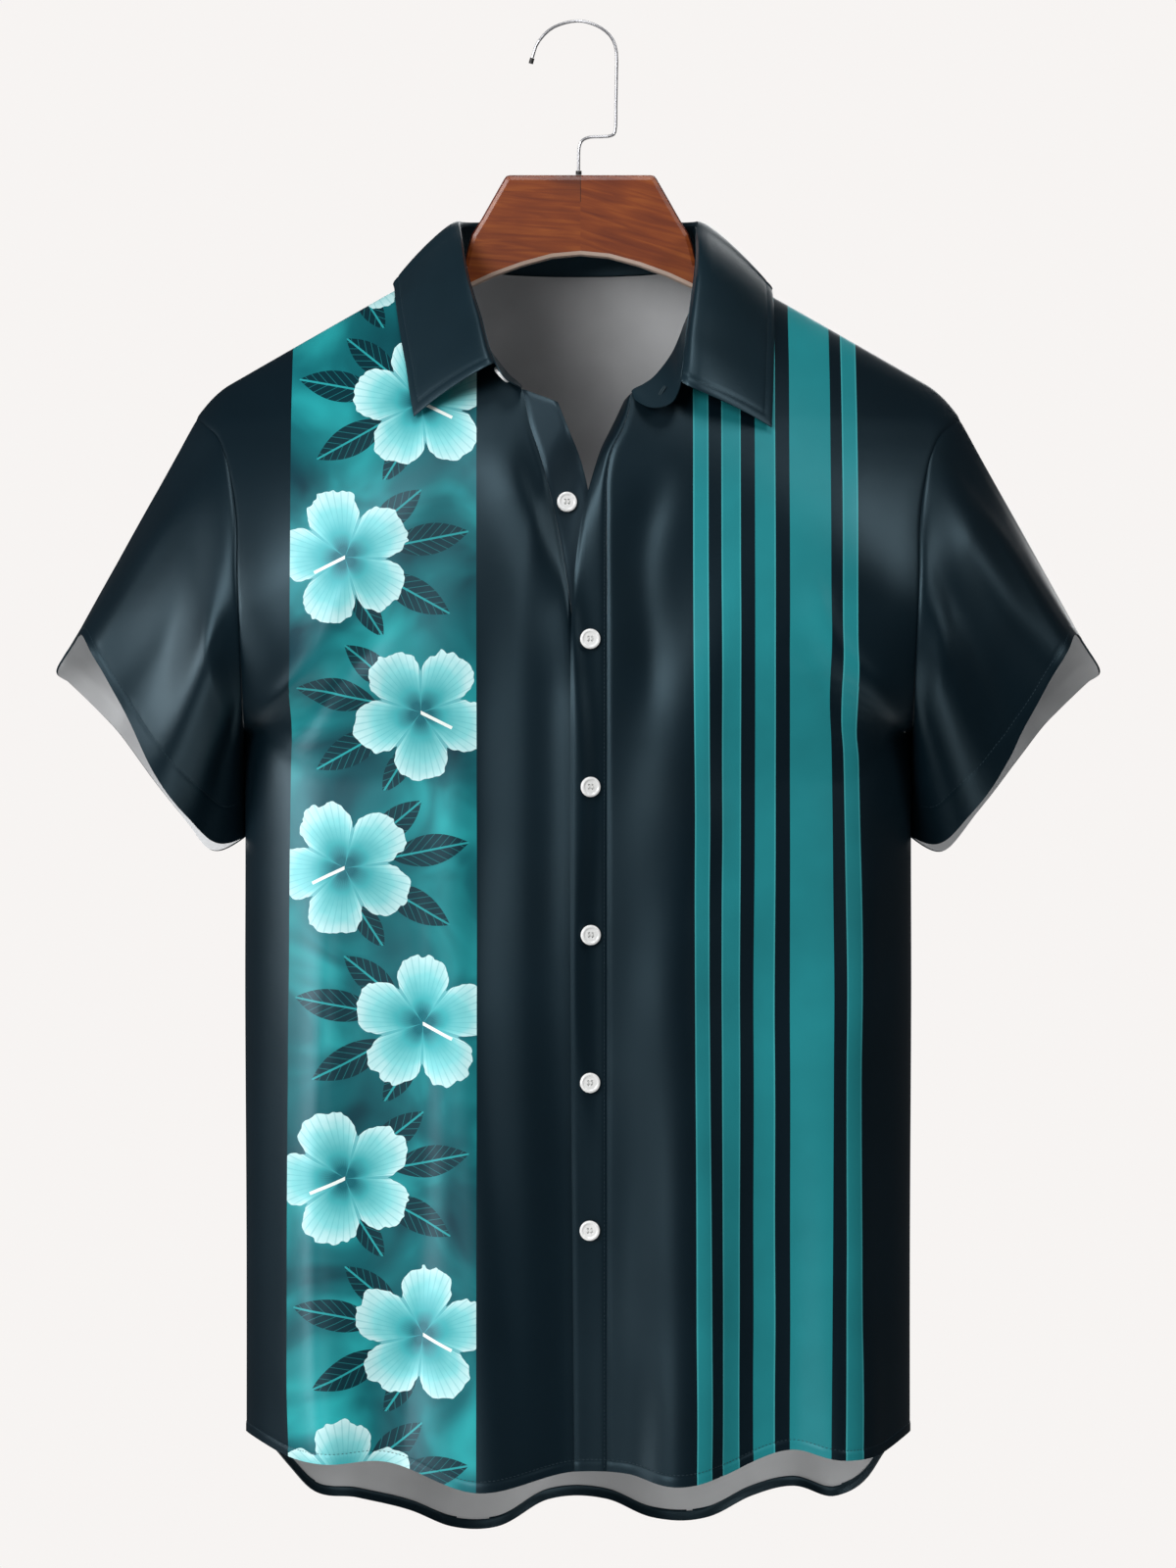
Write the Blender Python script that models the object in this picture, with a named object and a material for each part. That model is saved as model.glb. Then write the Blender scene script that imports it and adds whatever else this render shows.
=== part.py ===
"""Short-sleeved hawaiian shirt, buttoned, hanging on a plain wooden hanger with a wire hook.

Metres, +Z up, +X to the viewer's right (the wearer's left), -Y towards the viewer.
The origin is the underside of the hook's bend, where a rail carries the hanger.
"""
import math

import bpy
import numpy as np

# Cloth and seams
WALL = 0.0012               # cloth with its turned edges
SEAM = 0.0003               # clear space between two sewn pieces
LAY = 0.0042                # the collar's outer edge stands this far off the panels

# Shoulder seam in the front view: a slope from the neck, rounded off at the tip
SHOULDER_PEAK = -0.1133
SHOULDER_SLOPE = 0.582
PEAK_ROUNDING = 0.030
TIP_START = 0.2136
TIP_CURVE = 21.0
NECK_POINT = 0.080          # half width of the neck at the shoulder seam
SHOULDER_TIP = 0.2346       # half width of the shoulders

# Section of the body
SECTION_POWER = 2.3         # squareness of the oval
ROUND_HEIGHT = 0.15         # drop over which the shoulders reach full depth
ROUND_POWER = 0.8
ARMHOLE_SHARE = 0.55        # depth left at the armhole, as a share of the panel's
ARMHOLE_MIDDLE = -0.345
ARMPIT = -0.433
ARMHOLE_WIDENING = 0.06     # the oval is wider than the armhole by this share
RIDGE_SHARE = 0.7           # past this share of its depth the body counts as upright
RIDGE_STEPS = 5
FOLD_TOP = -0.40            # the hem's folds fade out here
FOLD_POWER = 1.5

# Grid of the panels: rows run along the armhole, then down the side seam
NECKLINE_ROWS = (0.0, 0.012, 0.03, 0.05, 0.07, 0.09, 0.11, 0.13, 0.15, 0.17, 0.19, 0.21)
FRONT_CORNER = 0.21
BAND_START = (0.18, 0.205)   # rows over which the panel gives way to the front band
ARMHOLE_END = 0.36
LOWER_ARMHOLE_ROWS = 5
SIDE_ROWS = 10
FRONT_COLUMNS = 14
BACK_NECK_COLUMNS = 12
BACK_SHOULDER_COLUMNS = 7
COLUMN_POWER = 1.4
SLEEVE_ROWS = 6
SLEEVE_FULLNESS = 0.003
SLEEVE_FOLD_START = 0.45     # the folds reach full depth this far down the sleeve
SLEEVE_FOLD_LOSS = 0.35      # share of them lost again at the cuff

# Buttons
BUTTON_RADIUS = 0.0061
BUTTON_HEIGHT = 0.0022
BUTTON_RIM = 0.0014
BUTTON_DISH = 0.0006
BUTTON_SIDES = 14
FIRST_FRONT_BUTTON = (0.0071, -0.3787)
BUTTON_SPACING = 0.0893
FRONT_BUTTONS = 5
TOP_BUTTON = (-0.0072, -0.2958)
BUTTON_SHANK = 0.0006         # a button's back stands this far off the cloth
STAND_BUTTON = (0.172, 0.52)  # row of the neckline, share of the neck band's rise

# Hanger
BAR_THICKNESS = 0.012
BAR_BEVEL = 0.003
BAR_OFFSET = 0.0014         # the hanger's neck hangs this far to the right
BAR_CLEARANCE = 0.0044      # below the shoulder seam's outer face
ARM_DEPTH = 0.027            # height of an arm where it leaves the neck
ARM_TAPER = 0.3              # share of it lost towards the tip
ARM_START = 0.078
ARM_END = 0.209
ARM_STEPS = 6
WIRE_RADIUS = 0.0009
TIP_RADIUS = 0.0014
TIP_LENGTH = 0.0035
FERRULE_RADIUS = 0.0018


def table(names, *rows):
    """Rows of numbers, kept as one array for each named column."""
    return dict(zip(names.split(), np.array(rows, float).T))


# Half width of the body, or of the shoulders down to the armpit, by height
SIDE = table(
    "z half_width",
    (-0.900, 0.2035), (-0.750, 0.2035), (-0.600, 0.2043), (-0.450, 0.2045),
    (-0.400, 0.2055), (-0.340, 0.2080), (-0.300, 0.2092), (-0.280, 0.2125),
    (-0.265, 0.2165), (-0.252, 0.2235), (-0.243, SHOULDER_TIP))

# Depth of the body from the side seams to the middle of the front and of the back
DEPTH = table(
    "z front back",
    (-0.920, 0.112, 0.104), (-0.750, 0.112, 0.104), (-0.600, 0.113, 0.102),
    (-0.450, 0.113, 0.102), (-0.350, 0.108, 0.100), (-0.280, 0.101, 0.096),
    (-0.220, 0.094, 0.092), (-0.140, 0.086, 0.088))

# Hems, a row for each fold: place, push outward and height of the edge
FRONT_HEM = table(
    "x out z",
    (-0.2035, 0.000, -0.8610), (-0.1740, 0.002, -0.8744), (-0.1550, 0.008, -0.8780),
    (-0.1200, -0.007, -0.8762), (-0.0610, 0.011, -0.8940), (0.0000, -0.005, -0.8815),
    (0.0300, -0.001, -0.8827), (0.0600, 0.011, -0.8904), (0.0870, 0.004, -0.8840),
    (0.1300, -0.008, -0.8694), (0.1610, 0.007, -0.8762), (0.1840, 0.002, -0.8721),
    (0.2035, 0.000, -0.8610))
BACK_HEM = table(
    "x out z",
    (-0.2035, 0.000, -0.8610), (-0.1900, 0.000, -0.8720), (-0.1780, 0.001, -0.8870),
    (-0.1670, 0.003, -0.9000), (-0.1370, -0.004, -0.9073), (-0.1040, 0.000, -0.9160),
    (-0.0780, 0.009, -0.9270), (-0.0500, 0.009, -0.9270), (-0.0180, -0.005, -0.9094),
    (0.0180, -0.005, -0.9094), (0.0460, 0.006, -0.9213), (0.0800, 0.008, -0.9210),
    (0.1070, -0.002, -0.9070), (0.1330, -0.006, -0.9000), (0.1600, 0.005, -0.9060),
    (0.1790, 0.002, -0.8930), (0.1900, 0.000, -0.8750), (0.2035, 0.000, -0.8610))

# Height of each row where it meets the armhole or the side seam
OUTER_EDGE = table(
    "v z",
    (0.00, -0.2429), (0.03, -0.2520), (0.06, -0.2640), (0.09, -0.2790), (0.12, -0.2970),
    (0.15, -0.3180), (0.18, -0.3390), (0.22, -0.3640), (0.26, -0.3880), (0.30, -0.4090),
    (0.33, -0.4220), (ARMHOLE_END, ARMPIT), (0.50, -0.5250), (1.00, -0.8610))

# Neckline, then the seam of the front band, down each front
LEFT_SEAM = table(
    "v x z",
    (0.00, 0.0800, -0.1456), (0.05, 0.0745, -0.1650), (0.09, 0.0655, -0.1860),
    (0.13, 0.0575, -0.2050), (0.16, 0.0470, -0.2190), (0.19, 0.0386, -0.2252),
    (0.21, 0.0325, -0.2290), (0.23, 0.0310, -0.2396), (0.25, 0.0273, -0.2508),
    (0.28, 0.0202, -0.2656), (0.30, 0.0178, -0.2789), (0.33, 0.0174, -0.3005),
    (0.40, 0.0174, -0.3500), (1.00, 0.0174, -0.8815))
RIGHT_SEAM = table(
    "v x z",
    (0.00, -0.0800, -0.1456), (0.05, -0.0735, -0.1660), (0.09, -0.0650, -0.1840),
    (0.13, -0.0555, -0.2010), (0.16, -0.0480, -0.2115), (0.19, -0.0415, -0.2195),
    (0.21, -0.0345, -0.2262), (0.24, -0.0295, -0.2476), (0.27, -0.0218, -0.2713),
    (0.30, -0.0153, -0.2967), (0.33, -0.0105, -0.3200), (0.36, -0.0059, -0.3477),
    (0.42, -0.0011, -0.3951), (0.50, 0.0010, -0.4662), (0.60, 0.0013, -0.5492),
    (1.00, 0.0013, -0.8815))

# Free edge of each front band
LEFT_EDGE = table(
    "v x z",
    (0.21, 0.0279, -0.2335), (0.23, 0.0235, -0.2431), (0.25, 0.0192, -0.2520),
    (0.28, 0.0131, -0.2650), (0.30, 0.0090, -0.2780), (0.33, 0.0032, -0.3005),
    (0.36, -0.0005, -0.3240), (0.42, -0.0040, -0.3660), (0.50, -0.0046, -0.4386),
    (1.00, -0.0023, -0.8815))
RIGHT_EDGE = table(
    "v x z",
    (0.21, -0.0124, -0.2345), (0.24, -0.0053, -0.2523), (0.27, 0.0013, -0.2690),
    (0.30, 0.0060, -0.2880), (0.33, 0.0100, -0.3130), (0.36, 0.0150, -0.3450),
    (0.42, 0.0202, -0.3950), (0.50, 0.0223, -0.4660), (0.60, 0.0226, -0.5492),
    (1.00, 0.0226, -0.8815))

# The upper band's edge curls back in the open neck, and the lower front tucks under it
OVERLAP = table(
    "z curl tuck",
    (-0.900, 0.000, 0.0024), (-0.430, 0.000, 0.0024), (-0.370, 0.000, 0.0026),
    (-0.330, 0.001, 0.0042),
    (-0.301, 0.003, 0.0062), (-0.276, 0.006, 0.0080), (-0.260, 0.009, 0.0070),
    (-0.234, 0.018, 0.0030))
TUCK_START = 0.030
TUCK_END = 0.006

# Neck band: its rise from the neckline, by row on each front and by place on the back
LEFT_RISE = table(
    "v x y z",
    (0.00, -0.0075, 0.0000, 0.0205), (0.05, -0.0030, -0.0180, 0.0105),
    (0.09, 0.0010, -0.0240, -0.0050), (0.13, 0.0060, -0.0225, -0.0115),
    (0.16, 0.0120, -0.0180, -0.0148), (0.18, 0.0105, -0.0175, -0.0150),
    (0.195, 0.0078, -0.0140, -0.0130), (0.205, 0.0050, -0.0095, -0.0095),
    (0.21, 0.0025, -0.0045, -0.0050))
RIGHT_RISE = table(
    "v x y z",
    (0.00, 0.0075, 0.0000, 0.0205), (0.05, 0.0060, -0.0190, 0.0095),
    (0.09, 0.0055, -0.0245, 0.0010), (0.13, 0.0015, -0.0255, -0.0025),
    (0.16, -0.0010, -0.0250, -0.0035), (0.18, -0.0015, -0.0230, -0.0038),
    (0.195, -0.0012, -0.0180, -0.0030), (0.205, -0.0008, -0.0120, -0.0020),
    (0.21, -0.0004, -0.0055, -0.0010))
BACK_NECK = table(
    "x z rise_x rise_y rise_z",
    (0.000, -0.1533, 0.0000, -0.0040, 0.0300), (0.025, -0.1531, -0.0005, -0.0040, 0.0300),
    (0.050, -0.1520, -0.0020, -0.0030, 0.0285), (0.070, -0.1497, -0.0050, -0.0015, 0.0250),
    (0.080, -0.1456, -0.0075, 0.0000, 0.0205))

# Collar: its outer edge, by row on each front, and on the back as a share of the front's reach
LEFT_COLLAR = table(
    "v x z",
    (0.00, 0.1182, -0.1640), (0.05, 0.1196, -0.1830), (0.08, 0.1194, -0.2040),
    (0.11, 0.1184, -0.2280), (0.14, 0.1174, -0.2499))
RIGHT_COLLAR = table(
    "v x z",
    (0.00, -0.1128, -0.1640), (0.05, -0.1108, -0.1810), (0.09, -0.1068, -0.2050),
    (0.12, -0.1030, -0.2250), (0.15, -0.0995, -0.2434))
BACK_COLLAR = table(
    "x edge z",
    (0.000, 0.00, -0.1850), (0.025, 0.31, -0.1845), (0.050, 0.62, -0.1810),
    (0.070, 0.87, -0.1740), (0.080, 1.00, -0.1640))
STAND_END_ROWS = (0.18, 0.20, 0.207)
COLLAR_ROLL = 0.009         # how far the leaf rises before it turns over
COLLAR_SWING = 0.002
COLLAR_BEND = 0.42
COLLAR_CROWN = 0.007
COLLAR_ROWS = 7

# Cuff: the sleeve's open edge, by turn from the outer tip round the front
CUFF = table(
    "turn x y z",
    (0, 0.3110, 0.006, -0.3815), (30, 0.3035, -0.018, -0.3750), (60, 0.2925, -0.038, -0.3935),
    (90, 0.2735, -0.048, -0.4290), (120, 0.2560, -0.045, -0.4610), (150, 0.2340, -0.031, -0.4910),
    (180, 0.2165, 0.000, -0.5112), (210, 0.2260, 0.026, -0.5065), (240, 0.2430, 0.043, -0.4870),
    (270, 0.2680, 0.050, -0.4545), (300, 0.2900, 0.048, -0.4270), (330, 0.3130, 0.036, -0.4040),
    (345, 0.3204, 0.024, -0.3970), (360, 0.3110, 0.006, -0.3815))

# Sleeve folds, a row for each: turn, half width in degrees, push outward
RIGHT_SLEEVE_FOLDS = table(
    "turn spread out", (70, 22, 0.005), (112, 16, -0.006), (140, 18, 0.004), (265, 30, 0.005),
    (215, 20, -0.005))
LEFT_SLEEVE_FOLDS = table(
    "turn spread out", (62, 20, 0.004), (100, 16, -0.004), (136, 18, 0.005), (280, 30, 0.005),
    (225, 20, -0.005))

# Wooden bar, half of its outline at the neck: top from the middle out, then underside
BAR_TOP = table(
    "x z", (0.0000, -0.0936), (0.0432, -0.0936), (0.0452, -0.0941), (0.0465, -0.0957),
    (0.0537, -0.1083), (0.0605, -0.1203), (0.0665, -0.1300), (0.0690, -0.1380),
    (0.0712, -0.1475))
BAR_UNDER = table(
    "x z", (0.0000, -0.1430), (0.0171, -0.1446), (0.0354, -0.1496), (0.0530, -0.1560),
    (0.0702, -0.1640))

ARM_TIP = table("out drop", (0.0045, 0.0060), (0.0050, 0.0120), (0.0020, 0.0165))

# Hook, from the ferrule up to the free end
HOOK = table(
    "x z", (0.0003, -0.0905), (0.0003, -0.0835), (0.0006, -0.0765), (0.0025, -0.0722),
    (0.0072, -0.0702), (0.0140, -0.0699), (0.0204, -0.0692), (0.0228, -0.0654),
    (0.0231, -0.0500), (0.0234, -0.0340), (0.0234, -0.0180), (0.0204, -0.0092),
    (0.0138, -0.0032), (0.0060, 0.0000), (-0.0010, WIRE_RADIUS), (-0.0100, -0.0008),
    (-0.0180, -0.0048), (-0.0250, -0.0128), (-0.0280, -0.0215))


def smooth(at, places, values):
    """Cubic through the table's points, held constant past both ends."""
    at = np.asarray(at, float)
    slopes = np.gradient(values, places)
    i = np.clip(np.searchsorted(places, at, side="right") - 1, 0, len(places) - 2)
    width = places[i + 1] - places[i]
    s = np.clip((at - places[i]) / width, 0.0, 1.0)
    start = values[i] * (1 + 2 * s) + width * slopes[i] * s
    end = values[i + 1] * (3 - 2 * s) - width * slopes[i + 1] * (1 - s)
    return start * (1 - s) ** 2 + end * s ** 2


def read(columns, key, name, at):
    """One column of a table, read smoothly by another."""
    return smooth(at, columns[key], columns[name])


def unit(vectors):
    return vectors / np.linalg.norm(vectors, axis=-1, keepdims=True)


def ramp(value, start, end):
    """0 before start, 1 after end, eased between."""
    s = np.clip((value - start) / (end - start), 0.0, 1.0)
    return s * s * (3 - 2 * s)


# ---------------------------------------------------------------- form of the body

def shoulder_line(x):
    """Height of the shoulder seam."""
    x = np.abs(x)
    slope = SHOULDER_SLOPE * (np.sqrt(x * x + PEAK_ROUNDING ** 2) - PEAK_ROUNDING)
    return SHOULDER_PEAK - slope - TIP_CURVE * np.maximum(x - TIP_START, 0) ** 2


def depth(x, z, side):
    """Distance of the front (side -1) or back (side 1) from the plane of the side seams."""
    half_width = read(SIDE, "z", "half_width", z)
    below = np.clip((ARMHOLE_MIDDLE - z) / (ARMHOLE_MIDDLE - ARMPIT), 0, 1)
    left = np.sqrt(1 - below ** 2)
    share = ARMHOLE_SHARE * left
    across = np.clip(np.abs(x) / (half_width * (1 + ARMHOLE_WIDENING * left)), 0, 1)
    oval = (1 - across ** SECTION_POWER) ** (1 / SECTION_POWER)
    drop = np.clip((shoulder_line(x) - z) / ROUND_HEIGHT, 0, 1)
    rounding = (1 - (1 - drop) ** 2) ** ROUND_POWER
    full = read(DEPTH, "z", "front" if side < 0 else "back", z)
    hem = FRONT_HEM if side < 0 else BACK_HEM
    lowest = read(hem, "x", "z", x)
    fade = np.clip((FOLD_TOP - z) / (FOLD_TOP - lowest), 0, 1) ** FOLD_POWER
    return full * (share + (1 - share) * oval) * rounding + read(hem, "x", "out", x) * fade


def on_body(x, z, side, lift=0.0):
    """Points on the front or back, moved out by lift along Y."""
    return np.stack([x, side * (depth(x, z, side) + lift), z], axis=-1)


def body_normal(x, z, side):
    """Outward direction of the body's surface, level with the seams where it has no depth."""
    step = 0.0015
    slope_x = (depth(x + step, z, side) - depth(x - step, z, side)) / (2 * step)
    slope_z = (depth(x, z + step, side) - depth(x, z - step, side)) / (2 * step)
    return unit(np.stack([-slope_x, side * np.ones_like(slope_x), -slope_z], axis=-1))


# ---------------------------------------------------------------- solids from grids

def grid_normals(grid, sign, ring=False):
    """Unit normals of a grid of points: sign times rows' direction crossed with columns'."""
    if ring:
        grid = np.concatenate([grid[:, -1:], grid, grid[:, :1]], axis=1)
    along = np.gradient(grid, axis=0)
    across = np.gradient(grid, axis=1)
    normals = sign * unit(np.cross(along, across))
    return normals[:, 1:-1] if ring else normals


def wall(name, outer, inner, material, ring=False):
    """One closed solid between two grids of points; a ring closes its columns on themselves."""
    rows, columns = outer.shape[:2]
    count = rows * columns
    points = np.concatenate([outer.reshape(-1, 3), inner.reshape(-1, 3)])
    spans = columns if ring else columns - 1
    faces = []
    for r in range(rows - 1):
        for c in range(spans):
            n = (c + 1) % columns
            corners = (r * columns + c, r * columns + n, (r + 1) * columns + n, (r + 1) * columns + c)
            faces.append(corners)
            faces.append(tuple(count + k for k in reversed(corners)))
    for r, flip in ((0, False), (rows - 1, True)):
        for c in range(spans):
            a, b = r * columns + c, r * columns + (c + 1) % columns
            faces.append((a, count + a, count + b, b) if not flip else (b, count + b, count + a, a))
    if not ring:
        for c, flip in ((0, True), (columns - 1, False)):
            for r in range(rows - 1):
                a, b = r * columns + c, (r + 1) * columns + c
                faces.append((a, count + a, count + b, b) if not flip else (b, count + b, count + a, a))
    return solid(name, points, faces, material)


def signed_volume(points, faces):
    total = 0.0
    for face in faces:
        for k in range(1, len(face) - 1):
            total += np.dot(points[face[0]], np.cross(points[face[k]], points[face[k + 1]]))
    return total


def solid(name, points, faces, material):
    """A mesh object with its faces turned outward."""
    if signed_volume(points, faces) < 0:
        faces = [tuple(reversed(face)) for face in faces]
    mesh = bpy.data.meshes.new(name)
    mesh.from_pydata([tuple(p) for p in points], [], faces)
    mesh.shade_smooth()
    mesh.set_sharp_from_angle(angle=math.radians(50))
    mesh.materials.append(material)
    piece = bpy.data.objects.new(name, mesh)
    bpy.context.collection.objects.link(piece)
    return piece


def finish(name, colour, roughness, metallic=0.0):
    material = bpy.data.materials.new(name)
    material.use_nodes = True
    shader = material.node_tree.nodes["Principled BSDF"]
    shader.inputs["Base Color"].default_value = (*colour, 1.0)
    shader.inputs["Roughness"].default_value = roughness
    shader.inputs["Metallic"].default_value = metallic
    return material


# ---------------------------------------------------------------- fronts and back

def armhole_rows():
    lower = np.linspace(FRONT_CORNER, ARMHOLE_END, LOWER_ARMHOLE_ROWS + 1)[1:]
    return np.concatenate([NECKLINE_ROWS, lower])


def row_values():
    return np.concatenate([armhole_rows(), np.linspace(ARMHOLE_END, 1, SIDE_ROWS + 1)[1:]])


def seam_level(normals, top_columns, side_columns):
    """Keeps the cut edges of a panel in the seam's own plane, so that its partner fits there."""
    side_rows = np.arange(len(armhole_rows()) - 1, len(normals))
    for part in (np.ix_([0], top_columns), np.ix_(side_rows, side_columns)):
        level = normals[part] * np.array([1.0, 0.0, 1.0])
        normals[part] = unit(level)
    return normals


def tucked(points):
    """The lower front passes behind the upper band."""
    edge = read(LEFT_EDGE, "v", "x", smooth(-points[..., 2], -LEFT_EDGE["z"], LEFT_EDGE["v"]))
    share = ramp(points[..., 0], edge - TUCK_START, edge - TUCK_END)
    points[..., 1] += share * read(OVERLAP, "z", "tuck", points[..., 2])
    return points


def front_panel(name, seam, side_sign, material):
    """From the band's seam and the neckline to the armhole and the side seam."""
    v = row_values()[:, None]
    u = np.linspace(0, 1, FRONT_COLUMNS + 1)[None, :]
    share = 1 - (1 - u) ** COLUMN_POWER
    outer_z = read(OUTER_EDGE, "v", "z", v)
    outer_x = side_sign * read(SIDE, "z", "half_width", outer_z)
    inner_x = read(seam, "v", "x", v) + side_sign * SEAM * ramp(v, *BAND_START)
    x = inner_x + (outer_x - inner_x) * share
    z = read(seam, "v", "z", v) * (1 - share) + outer_z * share
    z = z + (shoulder_line(x[:1]) - z[:1]) * (1 - v) ** 6
    z = z + (read(FRONT_HEM, "x", "z", x[-1:]) - z[-1:]) * v ** 4
    grid = on_body(x, z, -1, lift=SEAM)
    if side_sign < 0:
        grid = tucked(grid)
    normals = seam_level(grid_normals(grid, side_sign), np.arange(FRONT_COLUMNS + 1),
                         [FRONT_COLUMNS])
    normals[1:, 0] = body_normal(x[1:, 0], z[1:, 0], -1)
    return wall(name, grid, grid - normals * WALL, material)


def back_neck_places():
    """Places along the back neckline, closer together where it turns to the shoulders."""
    return NECK_POINT * np.sin(np.linspace(-math.pi / 2, math.pi / 2, BACK_NECK_COLUMNS + 1))


def back_columns():
    """Column places from -1 to 1, with one at each neck point."""
    neck = NECK_POINT / SHOULDER_TIP
    middle = back_neck_places() / SHOULDER_TIP
    s = np.linspace(0, 1, BACK_SHOULDER_COLUMNS + 1)[1:]
    side = neck + (1 - neck) * (1 - (1 - s) ** COLUMN_POWER)
    return np.concatenate([-side[::-1], middle, side])


def back_panel(name, material):
    """One piece from the shoulder seams and the neckline to the hem."""
    v = row_values()[:, None]
    place = back_columns()[None, :]
    outer_z = read(OUTER_EDGE, "v", "z", v)
    x = place * read(SIDE, "z", "half_width", outer_z)
    top_x = x[:1]
    neckline = read(BACK_NECK, "x", "z", np.abs(top_x))
    top = np.where(np.abs(top_x) < NECK_POINT - 1e-6, neckline, shoulder_line(top_x))
    down = (outer_z - outer_z[0]) / (outer_z[-1] - outer_z[0])
    z = top + (read(BACK_HEM, "x", "z", x[-1:]) - top) * down
    grid = on_body(x, z, 1, lift=SEAM)
    on_shoulder = np.flatnonzero(np.abs(top_x[0]) > NECK_POINT - 1e-6)
    normals = seam_level(grid_normals(grid, -1), on_shoulder, [0, place.size - 1])
    return wall(name, grid, grid - normals * WALL, material)


# ---------------------------------------------------------------- front bands

def front_band(name, seam, edge, upper, material):
    """A strip from the seam to the free edge; the upper one curls back at the neck."""
    v = row_values()
    v = v[v > 0.209][:, None]
    b = np.linspace(0, 1, 4)[None, :]
    side_sign = 1 if upper else -1
    seam_x = read(seam, "v", "x", v) - side_sign * SEAM / 2
    x = seam_x + (read(edge, "v", "x", v) - seam_x) * b
    z = read(seam, "v", "z", v) * (1 - b) + read(edge, "v", "z", v) * b
    z = z + (read(FRONT_HEM, "x", "z", x[-1:]) - z[-1:]) * v ** 4
    grid = on_body(x, z, -1, lift=SEAM)
    if upper:
        grid[..., 1] += read(OVERLAP, "z", "curl", grid[..., 2]) * b ** 2
    else:
        grid = tucked(grid)
    normals = grid_normals(grid, -side_sign)
    normals[:, 0] = body_normal(x[:, 0], z[:, 0], -1)
    return wall(name, grid, grid - normals * WALL, material)


# ---------------------------------------------------------------- sleeves

def armhole_ring(side_sign):
    """Armhole, from the shoulder tip down the front and up the back."""
    z = read(OUTER_EDGE, "v", "z", armhole_rows())
    x = side_sign * (read(SIDE, "z", "half_width", z) + 2 * SEAM)
    front = on_body(x, z, -1, lift=SEAM)
    back = on_body(x, z, 1, lift=SEAM)
    front[[0, -1], 1] = 0.0
    return np.concatenate([front, back[-2:0:-1]])


def sleeve(name, side_sign, folds, material):
    """A tube from the armhole ring to the cuff ring, fuller in the middle."""
    start = armhole_ring(side_sign)
    turn = np.linspace(0, 360, len(start), endpoint=False)
    cuff = np.stack([side_sign * read(CUFF, "turn", "x", turn), read(CUFF, "turn", "y", turn),
                     read(CUFF, "turn", "z", turn)], axis=-1)
    w = np.linspace(0, 1, SLEEVE_ROWS + 1)[:, None, None]
    grid = start * (1 - w) + cuff * w
    normals = grid_normals(grid, -side_sign, ring=True)
    gap = (turn[:, None] - folds["turn"] + 180) % 360 - 180
    push = np.sum(folds["out"] * np.exp(-(gap / folds["spread"]) ** 2), axis=1)
    down = w[..., 0]
    fullness = SLEEVE_FULLNESS * np.sin(np.radians(turn)) ** 2 * np.sin(math.pi * down)
    fade = ramp(down, 0.0, SLEEVE_FOLD_START) * (1 - SLEEVE_FOLD_LOSS * down)
    grid = grid + normals * (push * fade + fullness)[..., None]
    normals = grid_normals(grid, -side_sign, ring=True)
    return wall(name, grid, grid - normals * WALL, material, ring=True)


# ---------------------------------------------------------------- collar

def neck_front(seam, rise, v):
    """Neckline points of one front, the neck band's rise there and the cloth's outward side."""
    x, z = read(seam, "v", "x", v), read(seam, "v", "z", v)
    point = on_body(x, z, -1, lift=SEAM)
    up = np.stack([read(rise, "v", axis, v) for axis in "xyz"], axis=-1)
    out = body_normal(x, z, -1)
    at_crest = v < 1e-6
    point[at_crest, 1] = 0.0
    out[at_crest] = unit(np.array([math.copysign(0.5, x[0]), 0.0, 1.0]))
    return point, up, out


def neck_back():
    """The same along the back, between the neck points."""
    x = back_neck_places()[1:-1]
    z = read(BACK_NECK, "x", "z", np.abs(x))
    up = np.stack([read(BACK_NECK, "x", "rise_" + axis, np.abs(x)) for axis in "xyz"], axis=-1)
    up[:, 0] *= np.sign(x)
    return on_body(x, z, 1, lift=SEAM), up, body_normal(x, z, 1)


def neck_ring(right_rows, left_rows):
    """From the right front round the back to the left front."""
    parts = (neck_front(RIGHT_SEAM, RIGHT_RISE, right_rows[::-1]), neck_back(),
             neck_front(LEFT_SEAM, LEFT_RISE, left_rows))
    return [np.concatenate(group) for group in zip(*parts)]


def collar_stand(name, material):
    """Neck band: upright at the back, leaning out towards its rounded front ends."""
    rows = np.sort(np.concatenate([NECKLINE_ROWS, STAND_END_ROWS]))
    base, rise, out = neck_ring(rows, rows)
    h = np.linspace(0, 1, 4)[None, :, None]
    grid = (base + out * 2 * SEAM)[:, None] + rise[:, None] * h
    normals = grid_normals(grid, -1)
    return wall(name, grid, grid - normals * WALL, material)


def ridge_height(x, distance, side):
    """Height of the body at a distance from the plane of the seams, and that share of its depth."""
    ridge = shoulder_line(x)
    height = ridge
    for _ in range(RIDGE_STEPS):
        half_width = read(SIDE, "z", "half_width", height)
        across = np.clip(np.abs(x) / (half_width * (1 + ARMHOLE_WIDENING)), 0, 1)
        oval = (1 - across ** SECTION_POWER) ** (1 / SECTION_POWER)
        full = read(DEPTH, "z", "front" if side < 0 else "back", height)
        share = np.clip(distance / (full * (ARMHOLE_SHARE + (1 - ARMHOLE_SHARE) * oval)), 0, 1)
        height = ridge - ROUND_HEIGHT * (1 - np.sqrt(1 - share ** (1 / ROUND_POWER)))
    return height, share


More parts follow.
